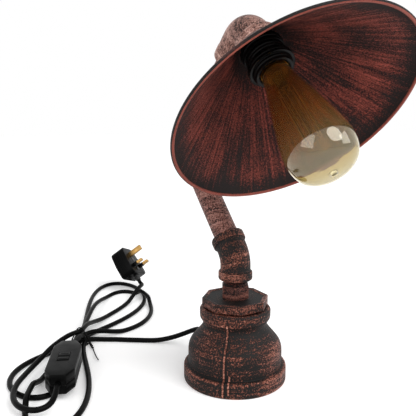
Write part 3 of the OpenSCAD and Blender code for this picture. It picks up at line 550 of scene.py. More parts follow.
# The foot's paint: brush rings in muted red, pale on the rims and black in the hollows
base_paint = dry_brushed(
    "red_brushed_cast_iron", (0, 0, 0), (0, 0, 0), 46, 2.6,
    ("#050302", "#8a4a38", "#e0ac98"), cover=-0.17,
)
base_casting = turned("base_casting", rounded([
    (PLATE_RECESS, CAVITY_RADIUS, 0), (PLATE_RECESS, PLATE_RADIUS, 0), (0, PLATE_RADIUS, 0),
    (0, RING_RADIUS, 2), (RING_HEIGHT, RING_RADIUS, 2.4), (RING_HEIGHT + 0.8, BELL_RADIUS, 0.8),
    (BELL_TOP, BELL_RADIUS, 4), (BELL_TOP + 6, BELL_RADIUS - 1.8, 3),
    (BELL_TOP + 12, BELL_RADIUS - 6.4, 3), (BELL_TOP + 19, BELL_RADIUS - 12.6, 3),
    (NECK_HEIGHT, NECK_RADIUS, 3), (NECK_HEIGHT + 4, NECK_RADIUS + 0.6, 2),
    (NECK_HEIGHT + 9, COLLAR_RADIUS - 0.2, 1.4), (COLLAR_TOP - 2.6, COLLAR_RADIUS, 1),
    (COLLAR_TOP, COLLAR_RADIUS - 2, 1), (COLLAR_TOP, COLLAR_RADIUS - 4.6, 1),
    (COLLAR_TOP - 2.5, COLLAR_BORE + 1.4, 0.6), (COLLAR_TOP - 4.5, COLLAR_BORE, 0),
    (BORE_FLOOR, COLLAR_BORE, 0), (BORE_FLOOR - 3, NECK_RADIUS - CASTING_WALL, 2),
    (BELL_TOP + 15, CAVITY_RADIUS - 12, 3), (BELL_TOP + 8, CAVITY_RADIUS - 4.6, 3),
    (BELL_TOP - 1, CAVITY_RADIUS, 2), (PLATE_RECESS, CAVITY_RADIUS, 0),
]), sides=144)


def select_faces(piece, wanted):
    """Selects the faces of an object in edit mode whose middle and normal pass a test."""
    bpy.ops.mesh.select_mode(type="FACE")
    bpy.ops.mesh.select_all(action="DESELECT")
    bpy.ops.object.mode_set(mode="OBJECT")
    for face in piece.data.polygons:
        face.select = wanted(face.center / MM, face.normal)
    bpy.ops.object.mode_set(mode="EDIT")


def slice_at(normal, distances):
    """Cuts the whole mesh open for editing by planes square to normal."""
    for distance in distances:
        bpy.ops.mesh.select_all(action="SELECT")
        bpy.ops.mesh.bisect(plane_co=Vector(normal) * (distance * MM), plane_no=normal)


# The parting rib: the skin is cut along both sides of the mould's joint and drawn out
reopen(base_casting)
rib_way = Vector((*heading(RIB_HEADING), 0))
rib_side = Vector((-rib_way.y, rib_way.x, 0))
slice_at(rib_side, (-RIB_HALF, RIB_HALF))
select_faces(base_casting, lambda c, n: (
    abs(c.dot(rib_side)) < RIB_HALF and n.dot(c - UP * c.z) > 4
    and hypot(c.x, c.y) > OUTER_SKIN and 1.9 < c.z < COLLAR_TOP - 9
))
bpy.ops.mesh.extrude_region_shrink_fatten(TRANSFORM_OT_shrink_fatten={"value": RIB_PROUD * MM})

# A shorter rib beside it marks the mould's riser
slice_at(rib_side, (RISER_AT - RIB_HALF, RISER_AT + RIB_HALF))
slice_at((0, 0, 1), (RISER_FOOT, RISER_TOP))
select_faces(base_casting, lambda c, n: (
    abs(c.dot(rib_side) - RISER_AT) < RIB_HALF and c.dot(rib_way) > 0 and n.dot(rib_way) > 0.3
    and hypot(c.x, c.y) > BELL_RADIUS - 1 and RISER_FOOT < c.z < RISER_TOP
))
bpy.ops.mesh.extrude_region_shrink_fatten(TRANSFORM_OT_shrink_fatten={"value": RIB_PROUD * MM})
close_up(base_casting, 32)
finished(base_casting, base_paint, "base", "cast_fittings", "base_reducer")


# --- Octagon bushing and nipple ------------------------------------------------------------------
# A cast reducing bushing with eight flats screws into the collar, and a steel hex nipple
# screws into it. Both are painted with the casting, and a line of shadow parts them from it.

BUSHING_Z = 82.2
BUSHING_HEAD = 9.4
BUSHING_FLATS = 66.9
BUSHING_THREAD = 29.8
BUSHING_DEPTH = 21
NIPPLE_Z = BUSHING_Z + BUSHING_HEAD
NIPPLE_HEX = 13.4
NIPPLE_FLATS = 28
NIPPLE_THREAD = 13.2
NIPPLE_BORE = 9.5
NIPPLE_NECK = 6.1
NIPPLE_TAIL = 20
THREAD_PITCH = 1.81
ENGAGEMENT = 13
BUSHING_HOLE = NIPPLE_THREAD + 0.1


def bevelled(piece, width, segments=2, angle=30):
    """Rounds the sharp edges of a piece, open for editing or not, with an applied bevel."""
    if bpy.context.mode == "EDIT_MESH":
        bpy.ops.object.mode_set(mode="OBJECT")
    edge = piece.modifiers.new("edge", "BEVEL")
    edge.width = width * MM
    edge.segments = segments
    edge.limit_method = "ANGLE"
    edge.angle_limit = radians(angle)
    select_only(piece)
    bpy.ops.object.modifier_apply(modifier="edge")
    bpy.ops.object.shade_smooth_by_angle(angle=radians(40))


def bored_nut(name, flats, sides, z, height, bore, dish, edge):
    """A nut head with flats, a bore through it and a top whose dish, if any, starts at a
    width from the corners and is as deep as it says."""
    corner = flats / 2 / cos(pi / sides)
    piece = start_ring(name, corner, z, sides)
    bpy.ops.transform.rotate(value=pi / sides, orient_axis="Z", center_override=(0, 0, 0))
    stations = [(z, corner), (z + height, corner)]
    if dish:
        border, depth = dish
        stations += [(z + height, corner - border), (z + height - depth, corner - border - depth)]
    stations += [(stations[-1][0], bore), (z, bore), (z, corner)]
    draw_out(HERE, UP, stations)
    close_up(piece)
    bevelled(piece, edge)
    return piece


octagon_head = bored_nut(
    "octagon_head", BUSHING_FLATS, 8, BUSHING_Z, BUSHING_HEAD, BUSHING_HOLE, (3.4, 0.9), 0.8
)
# The bushing's paint: mostly black, with red on the corners of its flats
octagon_paint = dry_brushed(
    "red_brushed_bushing", (0, 0, 0), (0, 0, 0), 30, 4,
    ("#050302", "#7d4434", "#cc9482"), cover=-0.3,
)
bushing_end = BUSHING_Z - BUSHING_DEPTH
octagon_thread = turned("octagon_thread", [
    (bushing_end, BUSHING_HOLE), (bushing_end, BUSHING_THREAD - 1),
    (bushing_end + 1, BUSHING_THREAD), (BUSHING_Z + 1, BUSHING_THREAD),
    (BUSHING_Z + 1, BUSHING_HOLE), (bushing_end, BUSHING_HOLE),
])
finished(octagon_head, octagon_paint, "base", "cast_fittings", "octagon_bushing")
finished(octagon_thread, octagon_paint, "base", "cast_fittings")

nipple_hexagon = bored_nut(
    "nipple_hexagon", NIPPLE_FLATS, 6, NIPPLE_Z, NIPPLE_HEX, NIPPLE_BORE + 0.5, (), 0.7
)
nipple_top = NIPPLE_Z + NIPPLE_HEX
nipple_end = nipple_top + NIPPLE_NECK + ENGAGEMENT
nipple_foot = NIPPLE_Z - NIPPLE_TAIL
RIDGE_COUNT = 5
ridges = []
for i in range(RIDGE_COUNT):
    foot = nipple_top + 0.4 + i * THREAD_PITCH
    ridges += [(foot, NIPPLE_THREAD - 1), (foot + THREAD_PITCH / 2, NIPPLE_THREAD)]
nipple_shank = turned("nipple_shank", [
    (nipple_foot, NIPPLE_BORE), (nipple_foot, NIPPLE_THREAD), (nipple_top - 1, NIPPLE_THREAD),
    *ridges, (ridges[-1][0] + 1, NIPPLE_THREAD), (nipple_end - 1, NIPPLE_THREAD),
    (nipple_end, NIPPLE_THREAD - 1), (nipple_end, NIPPLE_BORE), (nipple_foot, NIPPLE_BORE),
], sides=64)
# The nipple's paint: browner and darker than the fittings on either side of it
nipple_paint = dry_brushed(
    "red_brushed_nipple", (0, 0, 0), (0, 0, 0), 30, 3,
    ("#080505", "#5e352d", "#a06c5f"), cover=-0.16,
)
finished(nipple_hexagon, nipple_paint, "base", "cast_fittings", "hex_nipple")
finished(nipple_shank, nipple_paint, "base", "cast_fittings")


# --- Arms ----------------------------------------------------------------------------------------
# Malleable-iron elbows with beaded ends join two lengths of 3/4 inch steel pipe. The lower
# elbow turns the arm back by 44 degrees and the middle one turns it over the base again.

LOWER_TURN = 44.3
LOWER_TAKE = 25
MIDDLE_TAKE = 33
TOP_TAKE_IN = 44
TOP_TAKE_OUT = 30
LOWER_BEND = 26
MIDDLE_BEND = 19.4
TOP_BEND = 18.4
PIPE_RADIUS = 13.35
PIPE_WALL = 2.9
LOWER_PIPE = 123
UPPER_PIPE = 126
ELBOW_RADIUS = 16.2
TOP_ELBOW_RADIUS = ELBOW_RADIUS + 1.6
BAND_RADIUS = 18.3
BIG_BAND_RADIUS = 22.3
BAND_HEIGHT = 9.5
BAND_ROUND = 1.6
BAND_SOFT = 1.9
WATERWAY = 11.2
SOCKET_RADIUS = PIPE_RADIUS + 0.25
SOCKET_DEPTH = ENGAGEMENT + 0.3
ELBOW_Z = nipple_top + NIPPLE_NECK + LOWER_TAKE
LOWER_DIR = Vector((0, sin(radians(LOWER_TURN)), cos(radians(LOWER_TURN))))
UPPER_DIR = Vector((0, -cos(radians(LOWER_TURN)), sin(radians(LOWER_TURN))))
LOWER_CORNER = Vector((0, 0, ELBOW_Z))
MIDDLE_CORNER = LOWER_CORNER + LOWER_DIR * (LOWER_TAKE + MIDDLE_TAKE - 2 * ENGAGEMENT + LOWER_PIPE)
TOP_CORNER = MIDDLE_CORNER + UPPER_DIR * (MIDDLE_TAKE + TOP_TAKE_IN - 2 * ENGAGEMENT + UPPER_PIPE)


def bead(face, inward, radius, body):
    """Stations of a rounded bead at a fitting's end, from its face inward to the body."""
    flat = radius - BAND_ROUND
    foot = face + inward * BAND_HEIGHT
    return [
        (face, flat),
        *[(face + inward * BAND_SOFT * (1 - cos(a)), flat + BAND_ROUND * sin(a))
          for a in (pi / 8, pi / 4, 3 * pi / 8, pi / 2)],
        *[(foot - inward * BAND_SOFT * (1 - sin(a)), flat + BAND_ROUND * cos(a))
          for a in (0, pi / 6, pi / 3, pi / 2)],
        (foot + inward * 0.5, body + 0.5), (foot + inward * 1.6, body),
    ]


def elbow(name, turn, bend, take_in, take_out, body, out_band, out_socket, out_depth, swept=14):
    """An elbow whose corner is the origin: its inlet comes up from -Z and its outlet
    leaves turned toward +Y. It is one closed wall, with the waterway through it."""
    run = bend * tan(radians(turn) / 2)
    out_way = Vector((0, sin(radians(turn)), cos(radians(turn))))
    shoulder = SOCKET_DEPTH - take_in
    swivel = {"steps": swept, "center": Vector((0, bend, -run)) * MM, "axis": (1, 0, 0)}
    piece = start_ring(name, WATERWAY, shoulder, 72)
    draw_out(HERE, UP, [
        (shoulder, WATERWAY), (shoulder, SOCKET_RADIUS), (-take_in, SOCKET_RADIUS),
        *bead(-take_in, 1, BAND_RADIUS, body), (-run, body),
    ])
    bpy.ops.mesh.spin(angle=radians(turn), **swivel)
    inner_end = take_out - out_depth
    draw_out(HERE, out_way, [
        (run, body), *reversed(bead(take_out, -1, out_band, body)), (take_out, out_socket),
        (inner_end, out_socket), (inner_end, WATERWAY), (run, WATERWAY),
    ])
    bpy.ops.mesh.spin(angle=-radians(turn), **swivel)
    draw_out(HERE, UP, [(-run, WATERWAY), (shoulder, WATERWAY)])
    close_up(piece, 50)
    return piece


# The elbows' paint: short marks of red round each elbow, with pale beads
FITTING_TONES = ("#050302", "#7c4434", "#cc9785")
lower_elbow = elbow(
    "lower_elbow_casting", LOWER_TURN, LOWER_BEND, LOWER_TAKE, LOWER_TAKE, ELBOW_RADIUS,
    BAND_RADIUS, SOCKET_RADIUS, SOCKET_DEPTH,
)
put(lower_elbow, LOWER_CORNER, (0, 0, 0))
lower_elbow_paint = dry_brushed(
    "red_brushed_lower_elbow", LOWER_CORNER, (-LOWER_TURN / 2, 0, 0), 30, 6, FITTING_TONES, -0.16
)
finished(lower_elbow, lower_elbow_paint, "lower_arm", "cast_fittings", "lower_elbow")

middle_elbow = elbow(
    "middle_elbow_casting", 90, MIDDLE_BEND, MIDDLE_TAKE, MIDDLE_TAKE, ELBOW_RADIUS,
    BAND_RADIUS, SOCKET_RADIUS, SOCKET_DEPTH,
)
put(middle_elbow, HERE, (0, 0, 180))
put(middle_elbow, MIDDLE_CORNER, (-LOWER_TURN, 0, 0))
middle_elbow_paint = dry_brushed(
    "red_brushed_middle_elbow", MIDDLE_CORNER, (-LOWER_TURN, 0, 0), 30, 6, FITTING_TONES, -0.15
)
finished(middle_elbow, middle_elbow_paint, "upper_arm", "cast_fittings", "middle_elbow")


THREAD_TURNS = 6
THREAD_START = 4
PLAIN_FROM = 16


def threaded_pipe(name, length):
    """A pipe along +Z with its threaded ends and the last thread turns that stay in sight."""
    end = []
    for i in range(THREAD_TURNS):
        foot = THREAD_START + i * THREAD_PITCH
        end += [(foot, PIPE_RADIUS - 0.7), (foot + THREAD_PITCH / 2, PIPE_RADIUS)]
    inner = PIPE_RADIUS - PIPE_WALL
    return turned(name, [
        (0, inner), (0, PIPE_RADIUS - 1), (1, PIPE_RADIUS - 0.4), *end,
        (PLAIN_FROM, PIPE_RADIUS), (length - PLAIN_FROM, PIPE_RADIUS),
        *[(length - s, r) for s, r in reversed(end)],
        (length - 1, PIPE_RADIUS - 0.4), (length, PIPE_RADIUS - 1), (length, inner), (0, inner),
    ], sides=64, smooth_below=60)


# The pipes' paint: greyer red than the fittings, in bands across the pipe
PIPE_TONES = ("#0d0807", "#7d4c41", "#bb948a")
for name, corner, take, turn, length, body, replaced in (
    ("lower_pipe_steel", LOWER_CORNER, LOWER_TAKE, -LOWER_TURN, LOWER_PIPE, "lower_arm",
     "lower_pipe"),
    ("upper_pipe_steel", MIDDLE_CORNER, MIDDLE_TAKE, 90 - LOWER_TURN, UPPER_PIPE, "upper_arm",
     "upper_pipe"),
):
    pipe = threaded_pipe(name, length)
    way = Vector((0, -sin(radians(turn)), cos(radians(turn))))
    put(pipe, corner + way * (take - ENGAGEMENT), (turn, 0, 0))
    # The brush crossed the pipes a little aslant
    pipe_paint = dry_brushed(
        f"red_brushed_{replaced}", corner, (turn + 12, 8, 0), 34, 3.4, PIPE_TONES, 0.02
    )
    finished(pipe, pipe_paint, body, "brushed_pipe", replaced)


# --- Shade and its elbow -------------------------------------------------------------------------
# A reducing elbow with a big mouth carries the shade. The shade is spun from steel sheet
# with a rolled lip, painted in the same two coats, and brushed from the middle outward.

HEAD_TURN = (180 - LOWER_TURN, 0, 0)
WASHER_S = TOP_TAKE_OUT
WASHER_THICKNESS = 1.5
SHADE_S = WASHER_S + WASHER_THICKNESS
SHADE_DEPTH = 88
SHADE_TOP_RADIUS = 24
RIM_RADIUS = 118.5
RIM_S = SHADE_S + SHADE_DEPTH
SHEET = 1
LIP_RADIUS = 1.8
STUD_RADIUS = 5
STUD_HOLE = STUD_RADIUS + 0.1
BIG_SOCKET = 16.6
BIG_SOCKET_DEPTH = 12

top_elbow = elbow(
    "top_elbow_casting", 90, TOP_BEND, TOP_TAKE_IN, TOP_TAKE_OUT, TOP_ELBOW_RADIUS,
    BIG_BAND_RADIUS, BIG_SOCKET, BIG_SOCKET_DEPTH, swept=18,
)
put(top_elbow, HERE, (0, 0, 180))
put(top_elbow, TOP_CORNER, (90 - LOWER_TURN, 0, 0))
# The top elbow's paint: paler and pinker than the other elbows, the palest and pinkest piece
top_elbow_paint = dry_brushed(
    "pink_brushed_top_elbow", TOP_CORNER, (90 - LOWER_TURN, 0, 0), 30, 7,
    ("#0c0807", "#81564a", "#d0aca0"), cover=0.04,
)
finished(top_elbow, top_elbow_paint, "head", "light_fitting", "top_elbow")

slope = (RIM_RADIUS - LIP_RADIUS - SHADE_TOP_RADIUS) / (SHADE_DEPTH - LIP_RADIUS)
across = SHEET * sqrt(1 + slope * slope)
lip_at = (RIM_S - LIP_RADIUS, RIM_RADIUS - LIP_RADIUS)
lip_arc = [
    (lip_at[0] + LIP_RADIUS * sin(a), lip_at[1] + LIP_RADIUS * cos(a))
    for a in [radians(-30 + 15 * i) for i in range(15)]
]
CONE_STEPS = 8
cone_top = Vector((SHADE_S, SHADE_TOP_RADIUS))
cone = [tuple(cone_top.lerp(Vector(lip_at), i / CONE_STEPS)) for i in range(1, CONE_STEPS)]
shade = turned("spun_shade", [
    (SHADE_S, STUD_HOLE), (SHADE_S, SHADE_TOP_RADIUS - 2.2),
    (SHADE_S + 0.4, SHADE_TOP_RADIUS - 0.6), (SHADE_S + 1.4, SHADE_TOP_RADIUS + 1.4), *cone,
    (lip_at[0] - 1.4, lip_at[1] - 0.2), *lip_arc,
    *[(s, r - across) for s, r in reversed(cone)],
    (SHADE_S + 2.2, SHADE_TOP_RADIUS + 0.6), (SHADE_S + 1.3, SHADE_TOP_RADIUS - 1.4),
    (SHADE_S + SHEET, SHADE_TOP_RADIUS - 3), (SHADE_S + SHEET, STUD_HOLE),
    (SHADE_S, STUD_HOLE),
], sides=192)
put(shade, TOP_CORNER, HEAD_TURN)
# Inside of the shade: fine brick-red spokes, thinner toward the middle, where they paint in the
# lampholder's shadow, and toward the lip
shade_paint = dry_brushed(
    "red_brushed_shade_inside", TOP_CORNER, HEAD_TURN, 2.6, 55,
    ("#130706", "#8b3f33", "#c8665a"), cover=0.0, radial=True, grain=1.316,
    contrast=(1.5, 0.95, 0.5), ramp=0.15, darker_ends=((SHADE_S + RIM_S) / 2, 50, 0.22),
)
# Back of the shade: fine brush rings in brown-red over black
shade_back_paint = dry_brushed(
    "red_brushed_shade_back", TOP_CORNER, HEAD_TURN, 70, 2.4,
    ("#0c0807", "#744238", "#b8887c"), cover=0.04, contrast=(1.7, 0.9, 0.3),
)
# Inner half of the lip: a nearly solid dark red line
shade_lip_paint = dry_brushed(
    "red_brushed_lip", TOP_CORNER, HEAD_TURN, 30, 4,
    ("#1e0f0c", "#74352b", "#8e4638"), cover=0.3,
)
# Outer half of the lip: nearly bare black enamel
bare_edge_paint = dry_brushed(
    "black_enamelled_edge", TOP_CORNER, HEAD_TURN, 30, 4,
    ("#080606", "#2a1613", "#5a302a"), cover=-0.2,
)
finished(shade, shade_paint, "head", "shade_paint", "shade")
for paint in (shade_back_paint, shade_lip_paint, bare_edge_paint):
    shade.data.materials.append(paint)
head_way = -LOWER_DIR
for face in shade.data.polygons:
    from_top = face.center / MM - TOP_CORNER
    s = from_top.dot(head_way)
    out = (from_top - head_way * s).normalized()
    if s > RIM_S - 2.6 * LIP_RADIUS and face.normal.dot(out) < 0.55:
        face.material_index = 2
    elif s > RIM_S - 2.2 * LIP_RADIUS:
        face.material_index = 3
    elif face.normal.dot(out) > 0 or face.normal.dot(head_way) < -0.5:
        face.material_index = 1

shade_washer = turned("shade_washer_ring", rounded([
    (WASHER_S + 0.02, STUD_HOLE, 0), (WASHER_S + 0.02, BIG_BAND_RADIUS - 3.2, 0.4),
    (SHADE_S - 0.02, BIG_BAND_RADIUS - 3.2, 0.4), (SHADE_S - 0.02, STUD_HOLE, 0),
    (WASHER_S + 0.02, STUD_HOLE, 0),
]), sides=72)
put(shade_washer, TOP_CORNER, HEAD_TURN)
# The washer's paint: black enamel with hardly any red, for the dark line between the elbow and the
# shade
washer_paint = dry_brushed(
    "black_enamelled_washer", TOP_CORNER, HEAD_TURN, 20, 4,
    ("#0f0b0a", "#3a211d", "#5a3832"), cover=-0.3,
)
finished(shade_washer, washer_paint, "head", "washer_paint", "shade_washer")


# --- Lampholder ----------------------------------------------------------------------------------
# A black phenolic screw holder on a hollow brass nipple: a skirt, a ribbed body and the
# ring that would hold a shade. The moulding is glossy on its ribs and dull between them.

HOLDER_S = SHADE_S + SHEET + 0.1
HOLDER_RADIUS = 20
HOLDER_LENGTH = 34
MOUTH_S = HOLDER_S + HOLDER_LENGTH
HOLDER_CAP = 10
HOLDER_RING_RADIUS = 22.8
SHELL_OUTER = 13.9
SHELL_HOLE = SHELL_OUTER + 0.1
SKIRT_WALL = 2

# Pressed phenolic: black, with gloss that breaks up where handling and lamp dust dulled it
phenolic, tree, shader = new_material("moulded_black_phenolic")
where = node(tree, "TexCoord").outputs["Object"]
grime = node(tree, "TexNoise", {"Vector": where, "Scale": per(4.17), "Detail": 4.0}).outputs["Fac"]
dull = node(tree, "MapRange", {"Value": grime, "From Min": 0.3, "From Max": 0.75,
                               "To Min": 0.24, "To Max": 0.5}).outputs[0]
dust = node(tree, "MapRange", {"Value": grime, "From Min": 0.5, "From Max": 0.8,
                               "To Max": 0.5}).outputs[0]
tone = node(tree, "Mix", {0: dust, 6: linear("#060505"), 7: linear("#1d1615")},
            data_type="RGBA").outputs[2]
bump = node(tree, "Bump", {"Height": grime, "Strength": 0.1, "Distance": 0.0004})
feed(shader, {"Base Color": tone, "Roughness": dull, "IOR": 1.6, "Specular IOR Level": 0.1,
              "Normal": bump.outputs[0]})

holder_cap = turned("holder_skirt", rounded([
    (HOLDER_S, STUD_HOLE, 0), (HOLDER_S, HOLDER_RADIUS + 1.5, 1),
    (HOLDER_S + 5.2, HOLDER_RADIUS + 1.3, 0.4), (HOLDER_S + 5.8, HOLDER_RADIUS + 0.5, 0.3),
    (HOLDER_S + 6.6, HOLDER_RADIUS + 0.5, 0.3), (HOLDER_S + 7.2, HOLDER_RADIUS + 1.1, 0.4),
    (HOLDER_S + HOLDER_CAP, HOLDER_RADIUS + 0.8, 0.5),
    (HOLDER_S + HOLDER_CAP, HOLDER_RADIUS - 2.2, 0.3),
    (HOLDER_S + SKIRT_WALL, HOLDER_RADIUS - 2.4, 0.8),
    (HOLDER_S + SKIRT_WALL, STUD_HOLE, 0), (HOLDER_S, STUD_HOLE, 0),
], 2))
body_start = HOLDER_S + HOLDER_CAP + 0.1
RIB_COUNT = 6
rib_pitch = (MOUTH_S - body_start - 3) / RIB_COUNT
ribs = []
for i in range(RIB_COUNT):
    foot = body_start + 0.4 + i * rib_pitch
    ribs += [
        (foot, HOLDER_RADIUS - 1, 0), (foot + 0.35 * rib_pitch, HOLDER_RADIUS, 0.5),
        (foot + 0.65 * rib_pitch, HOLDER_RADIUS, 0.5),
        (foot + 0.95 * rib_pitch, HOLDER_RADIUS - 1, 0),
    ]
holder_body = turned("holder_barrel", rounded([
    (body_start, SHELL_HOLE, 0), (body_start, HOLDER_RADIUS - 1, 0), *ribs,
    (MOUTH_S - 2, HOLDER_RADIUS - 1, 0), (MOUTH_S, HOLDER_RADIUS - 1.4, 0.8),
    (MOUTH_S, SHELL_OUTER + 1.2, 0.8), (MOUTH_S - 2, SHELL_HOLE, 0.5),
    (body_start, SHELL_HOLE, 0),
], 2))
RING_BACK = 12
ring_start = MOUTH_S - RING_BACK
holder_ring = turned("holder_shade_ring", rounded([
    (ring_start, HOLDER_RADIUS + 0.1, 0), (ring_start, HOLDER_RING_RADIUS, 0.7),
    (ring_start + 2.4, HOLDER_RING_RADIUS, 0.3), (ring_start + 3, HOLDER_RING_RADIUS - 0.7, 0.3),
    (ring_start + 3.6, HOLDER_RING_RADIUS, 0.3), (ring_start + 6, HOLDER_RING_RADIUS, 0.7),
    (ring_start + 6, HOLDER_RADIUS + 0.1, 0), (ring_start, HOLDER_RADIUS + 0.1, 0),
], 2))

# Grip flutes: every third face of the ring's outer skin is pressed in
FLUTE_DEPTH = 0.5
RING_SIDES = 96
reopen(holder_ring)
select_faces(holder_ring, lambda c, n: (
    hypot(n.x, n.y) > 0.9 and hypot(c.x, c.y) > HOLDER_RING_RADIUS - 0.2
    and round((atan2(c.y, c.x) + pi) / (2 * pi) * RING_SIDES - 0.5) % 3 == 0
))
bpy.ops.mesh.extrude_region_shrink_fatten(TRANSFORM_OT_shrink_fatten={"value": -FLUTE_DEPTH * MM})
close_up(holder_ring, 30)
for piece, replaced in ((holder_cap, "holder_cap"), (holder_body, "holder_body"),
                        (holder_ring, "holder_ring")):
    put(piece, TOP_CORNER, HEAD_TURN)
    finished(piece, phenolic, "head", "bakelite", replaced)


def clouded(name, size, detail, tones, dull, **more):
    """A finish that drifts between two tones in clouds of a size in millimetres. dull is its
    roughness: one number, or a pair of numbers for the first tone and the second."""
    paint, tree, shader = new_material(name)
    where = node(tree, "TexCoord").outputs["Object"]
    clouds = node(tree, "TexNoise", {"Vector": where, "Scale": per(size), "Detail": detail})
    first, second = (linear(code) for code in tones)
    tone = node(tree, "Mix", {0: clouds.outputs["Fac"], 6: first, 7: second}, data_type="RGBA")
    if isinstance(dull, tuple):
        dull = node(tree, "MapRange", {"Value": clouds.outputs["Fac"], "To Min": dull[0],
                                       "To Max": dull[1]}).outputs[0]
    feed(shader, {"Base Color": tone.outputs[2], "Roughness": dull, **more})
    return paint


# Spun and turned brass: bright yellow metal, browner and duller where it has tarnished
spun_brass = clouded("spun_brass", size=5.56, detail=4.0, tones=("#b58a44", "#8a6630"),
                     dull=(0.22, 0.42), Metallic=1.0)
# Glazed ceramic: warm cream, a shade darker where the glaze runs thin
cream_ceramic = clouded("glazed_cream_ceramic", size=3.33, detail=3.0,
                        tones=("#ddd3bd", "#c9bda2"), dull=0.3, IOR=1.55)
# Zinc plating: pale grey metal whose small crystals are each a little brighter or duller
zinc_steel = clouded("zinc_plated_steel", size=2, detail=3.0, tones=("#a9abad", "#7d8082"),
                     dull=(0.3, 0.5), Metallic=1.0)


def finish_node(name, paint):
    """Gives a CAD node that stays in sight its finished material."""
    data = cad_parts[name].data
    data.materials.clear()
    data.materials.append(paint)


for name in ("holder_stud", "stud_nuts", "screw_shell", "centre_contact", "switch_contacts"):
    finish_node(name, spun_brass)
finish_node("holder_insert", cream_ceramic)
finish_node("bulb_insulator", phenolic)
finish_node("head_plug", nipple_paint)
for name in ("plate_screws", "switch_screws", "bulb_contact"):
    finish_node(name, zinc_steel)
for name in ("cable_in_base", "cable_in_lower_arm", "cable_in_upper_arm", "cable_in_head"):
    finish_node(name, flex_pvc)


# --- Bulb ----------------------------------------------------------------------------------------
# An ST64 filament bulb: a long drop-shaped envelope of amber-coated glass with its seal at
# the tip, a pressed glass stem, and a cage of carbon-coloured filament on thin supports.

CAP_RADIUS = 13
GLASS_RADIUS = 32
BULB_LENGTH = 143
GLASS_WALL = 0.9
BULB_S = HOLDER_S + HOLDER_CAP + 1.7
TIP_LENGTH = 6
BULB_CAP_S = BULB_S + TIP_LENGTH
CAP_LENGTH = 17
NECK_S = BULB_CAP_S + CAP_LENGTH
BULB_END_S = BULB_S + BULB_LENGTH
NUB_LENGTH = 3
NECK_GLASS = CAP_RADIUS + 1.4

glass_end = BULB_END_S - NUB_LENGTH
span = glass_end - NECK_S
swollen = GLASS_RADIUS - NECK_GLASS
outline = [
    (NECK_S, CAP_RADIUS), (NECK_S + 3, NECK_GLASS), (NECK_S + 14, NECK_GLASS + 1.6),
    (NECK_S + 0.3 * span, NECK_GLASS + 0.4 * swollen),
    (NECK_S + 0.5 * span, NECK_GLASS + 0.7 * swollen),
    (NECK_S + 0.66 * span, NECK_GLASS + 0.92 * swollen),
    (NECK_S + 0.77 * span, GLASS_RADIUS), (NECK_S + 0.85 * span, 0.97 * GLASS_RADIUS),
    (NECK_S + 0.93 * span, 0.85 * GLASS_RADIUS), (glass_end - 2.6, 0.62 * GLASS_RADIUS),
    (glass_end - 0.8, 0.33 * GLASS_RADIUS), (glass_end - 0.1, 3.4),
]
OUTLINE_STEPS = 4
smooth = [p.xy for p in eased([(s, r, 0) for s, r in outline], OUTLINE_STEPS)]
outer = [*smooth, (glass_end + 0.8, 2.7), (BULB_END_S - 0.8, 2.1), (BULB_END_S - 0.1, 1.1)]
glass = turned("amber_envelope", outer, sides=96, smooth_below=60)
# The inside of the glass is the outline moved in by the wall
inner = [(NECK_S + GLASS_WALL, CAP_RADIUS - GLASS_WALL)]
for (s_a, r_a), (s_b, r_b) in zip(smooth[2:], smooth[3:]):
    step = hypot(s_b - s_a, r_b - r_a)
    inner.append(((s_a + s_b) / 2 + (r_b - r_a) / step * GLASS_WALL,
                  (r_a + r_b) / 2 - (s_b - s_a) / step * GLASS_WALL))
hollow = turned("amber_envelope_inside", [p for p in inner if p[1] > 2], sides=96, smooth_below=60)
reopen(hollow)
bpy.ops.mesh.select_all(action="SELECT")
bpy.ops.mesh.flip_normals()
bpy.ops.object.mode_set(mode="OBJECT")


def joined(pieces):
    """Makes several meshes, or several wires, one mesh that keeps the first one's name."""
    bpy.ops.object.select_all(action="DESELECT")
    for piece in pieces:
        piece.select_set(True)
    bpy.context.view_layer.objects.active = pieces[0]
    if pieces[0].type == "CURVE":
        bpy.ops.object.convert(target="MESH")
    bpy.ops.object.join()
    return pieces[0]


glass = joined([glass, hollow])

# Amber-coated glass: deep gold at the neck, its tint paling toward the tip as painted light, for the
# white room that shows through the glass there. The coat grows glossier toward the tip, and the room
# shines in it
amber_glass, tree, shader = new_material("amber_coated_glass")
where = node(tree, "TexCoord").outputs["Object"]
own = node(tree, "Mapping", {
    "Vector": where, "Location": TOP_CORNER * MM, "Rotation": [radians(a) for a in HEAD_TURN],
}, vector_type="TEXTURE").outputs[0]
depth = node(tree, "SeparateXYZ", {"Vector": own}).outputs["Z"]
toward_tip = node(tree, "MapRange", {
    "Value": depth, "From Min": (NECK_S + 0.5 * span) * MM, "From Max": (NECK_S + 0.95 * span) * MM,
}, interpolation_type="SMOOTHSTEP").outputs[0]
tint = node(tree, "Mix", {0: toward_tip, 6: linear("#dcae66"), 7: linear("#dccf9f")},
            data_type="RGBA").outputs[2]
mirror = node(tree, "MapRange", {"Value": toward_tip, "To Min": 0.06, "To Max": 0.22}).outputs[0]
feed(shader, {"Base Color": tint, "Roughness": 0.015, "IOR": 1.45, "Transmission Weight": 0.93,
              "Coat Weight": mirror, "Coat IOR": 2.0, "Coat Roughness": 0.02})
put(glass, TOP_CORNER, HEAD_TURN)
finished(glass, amber_glass, "bulb", "amber_glass", "bulb_glass")

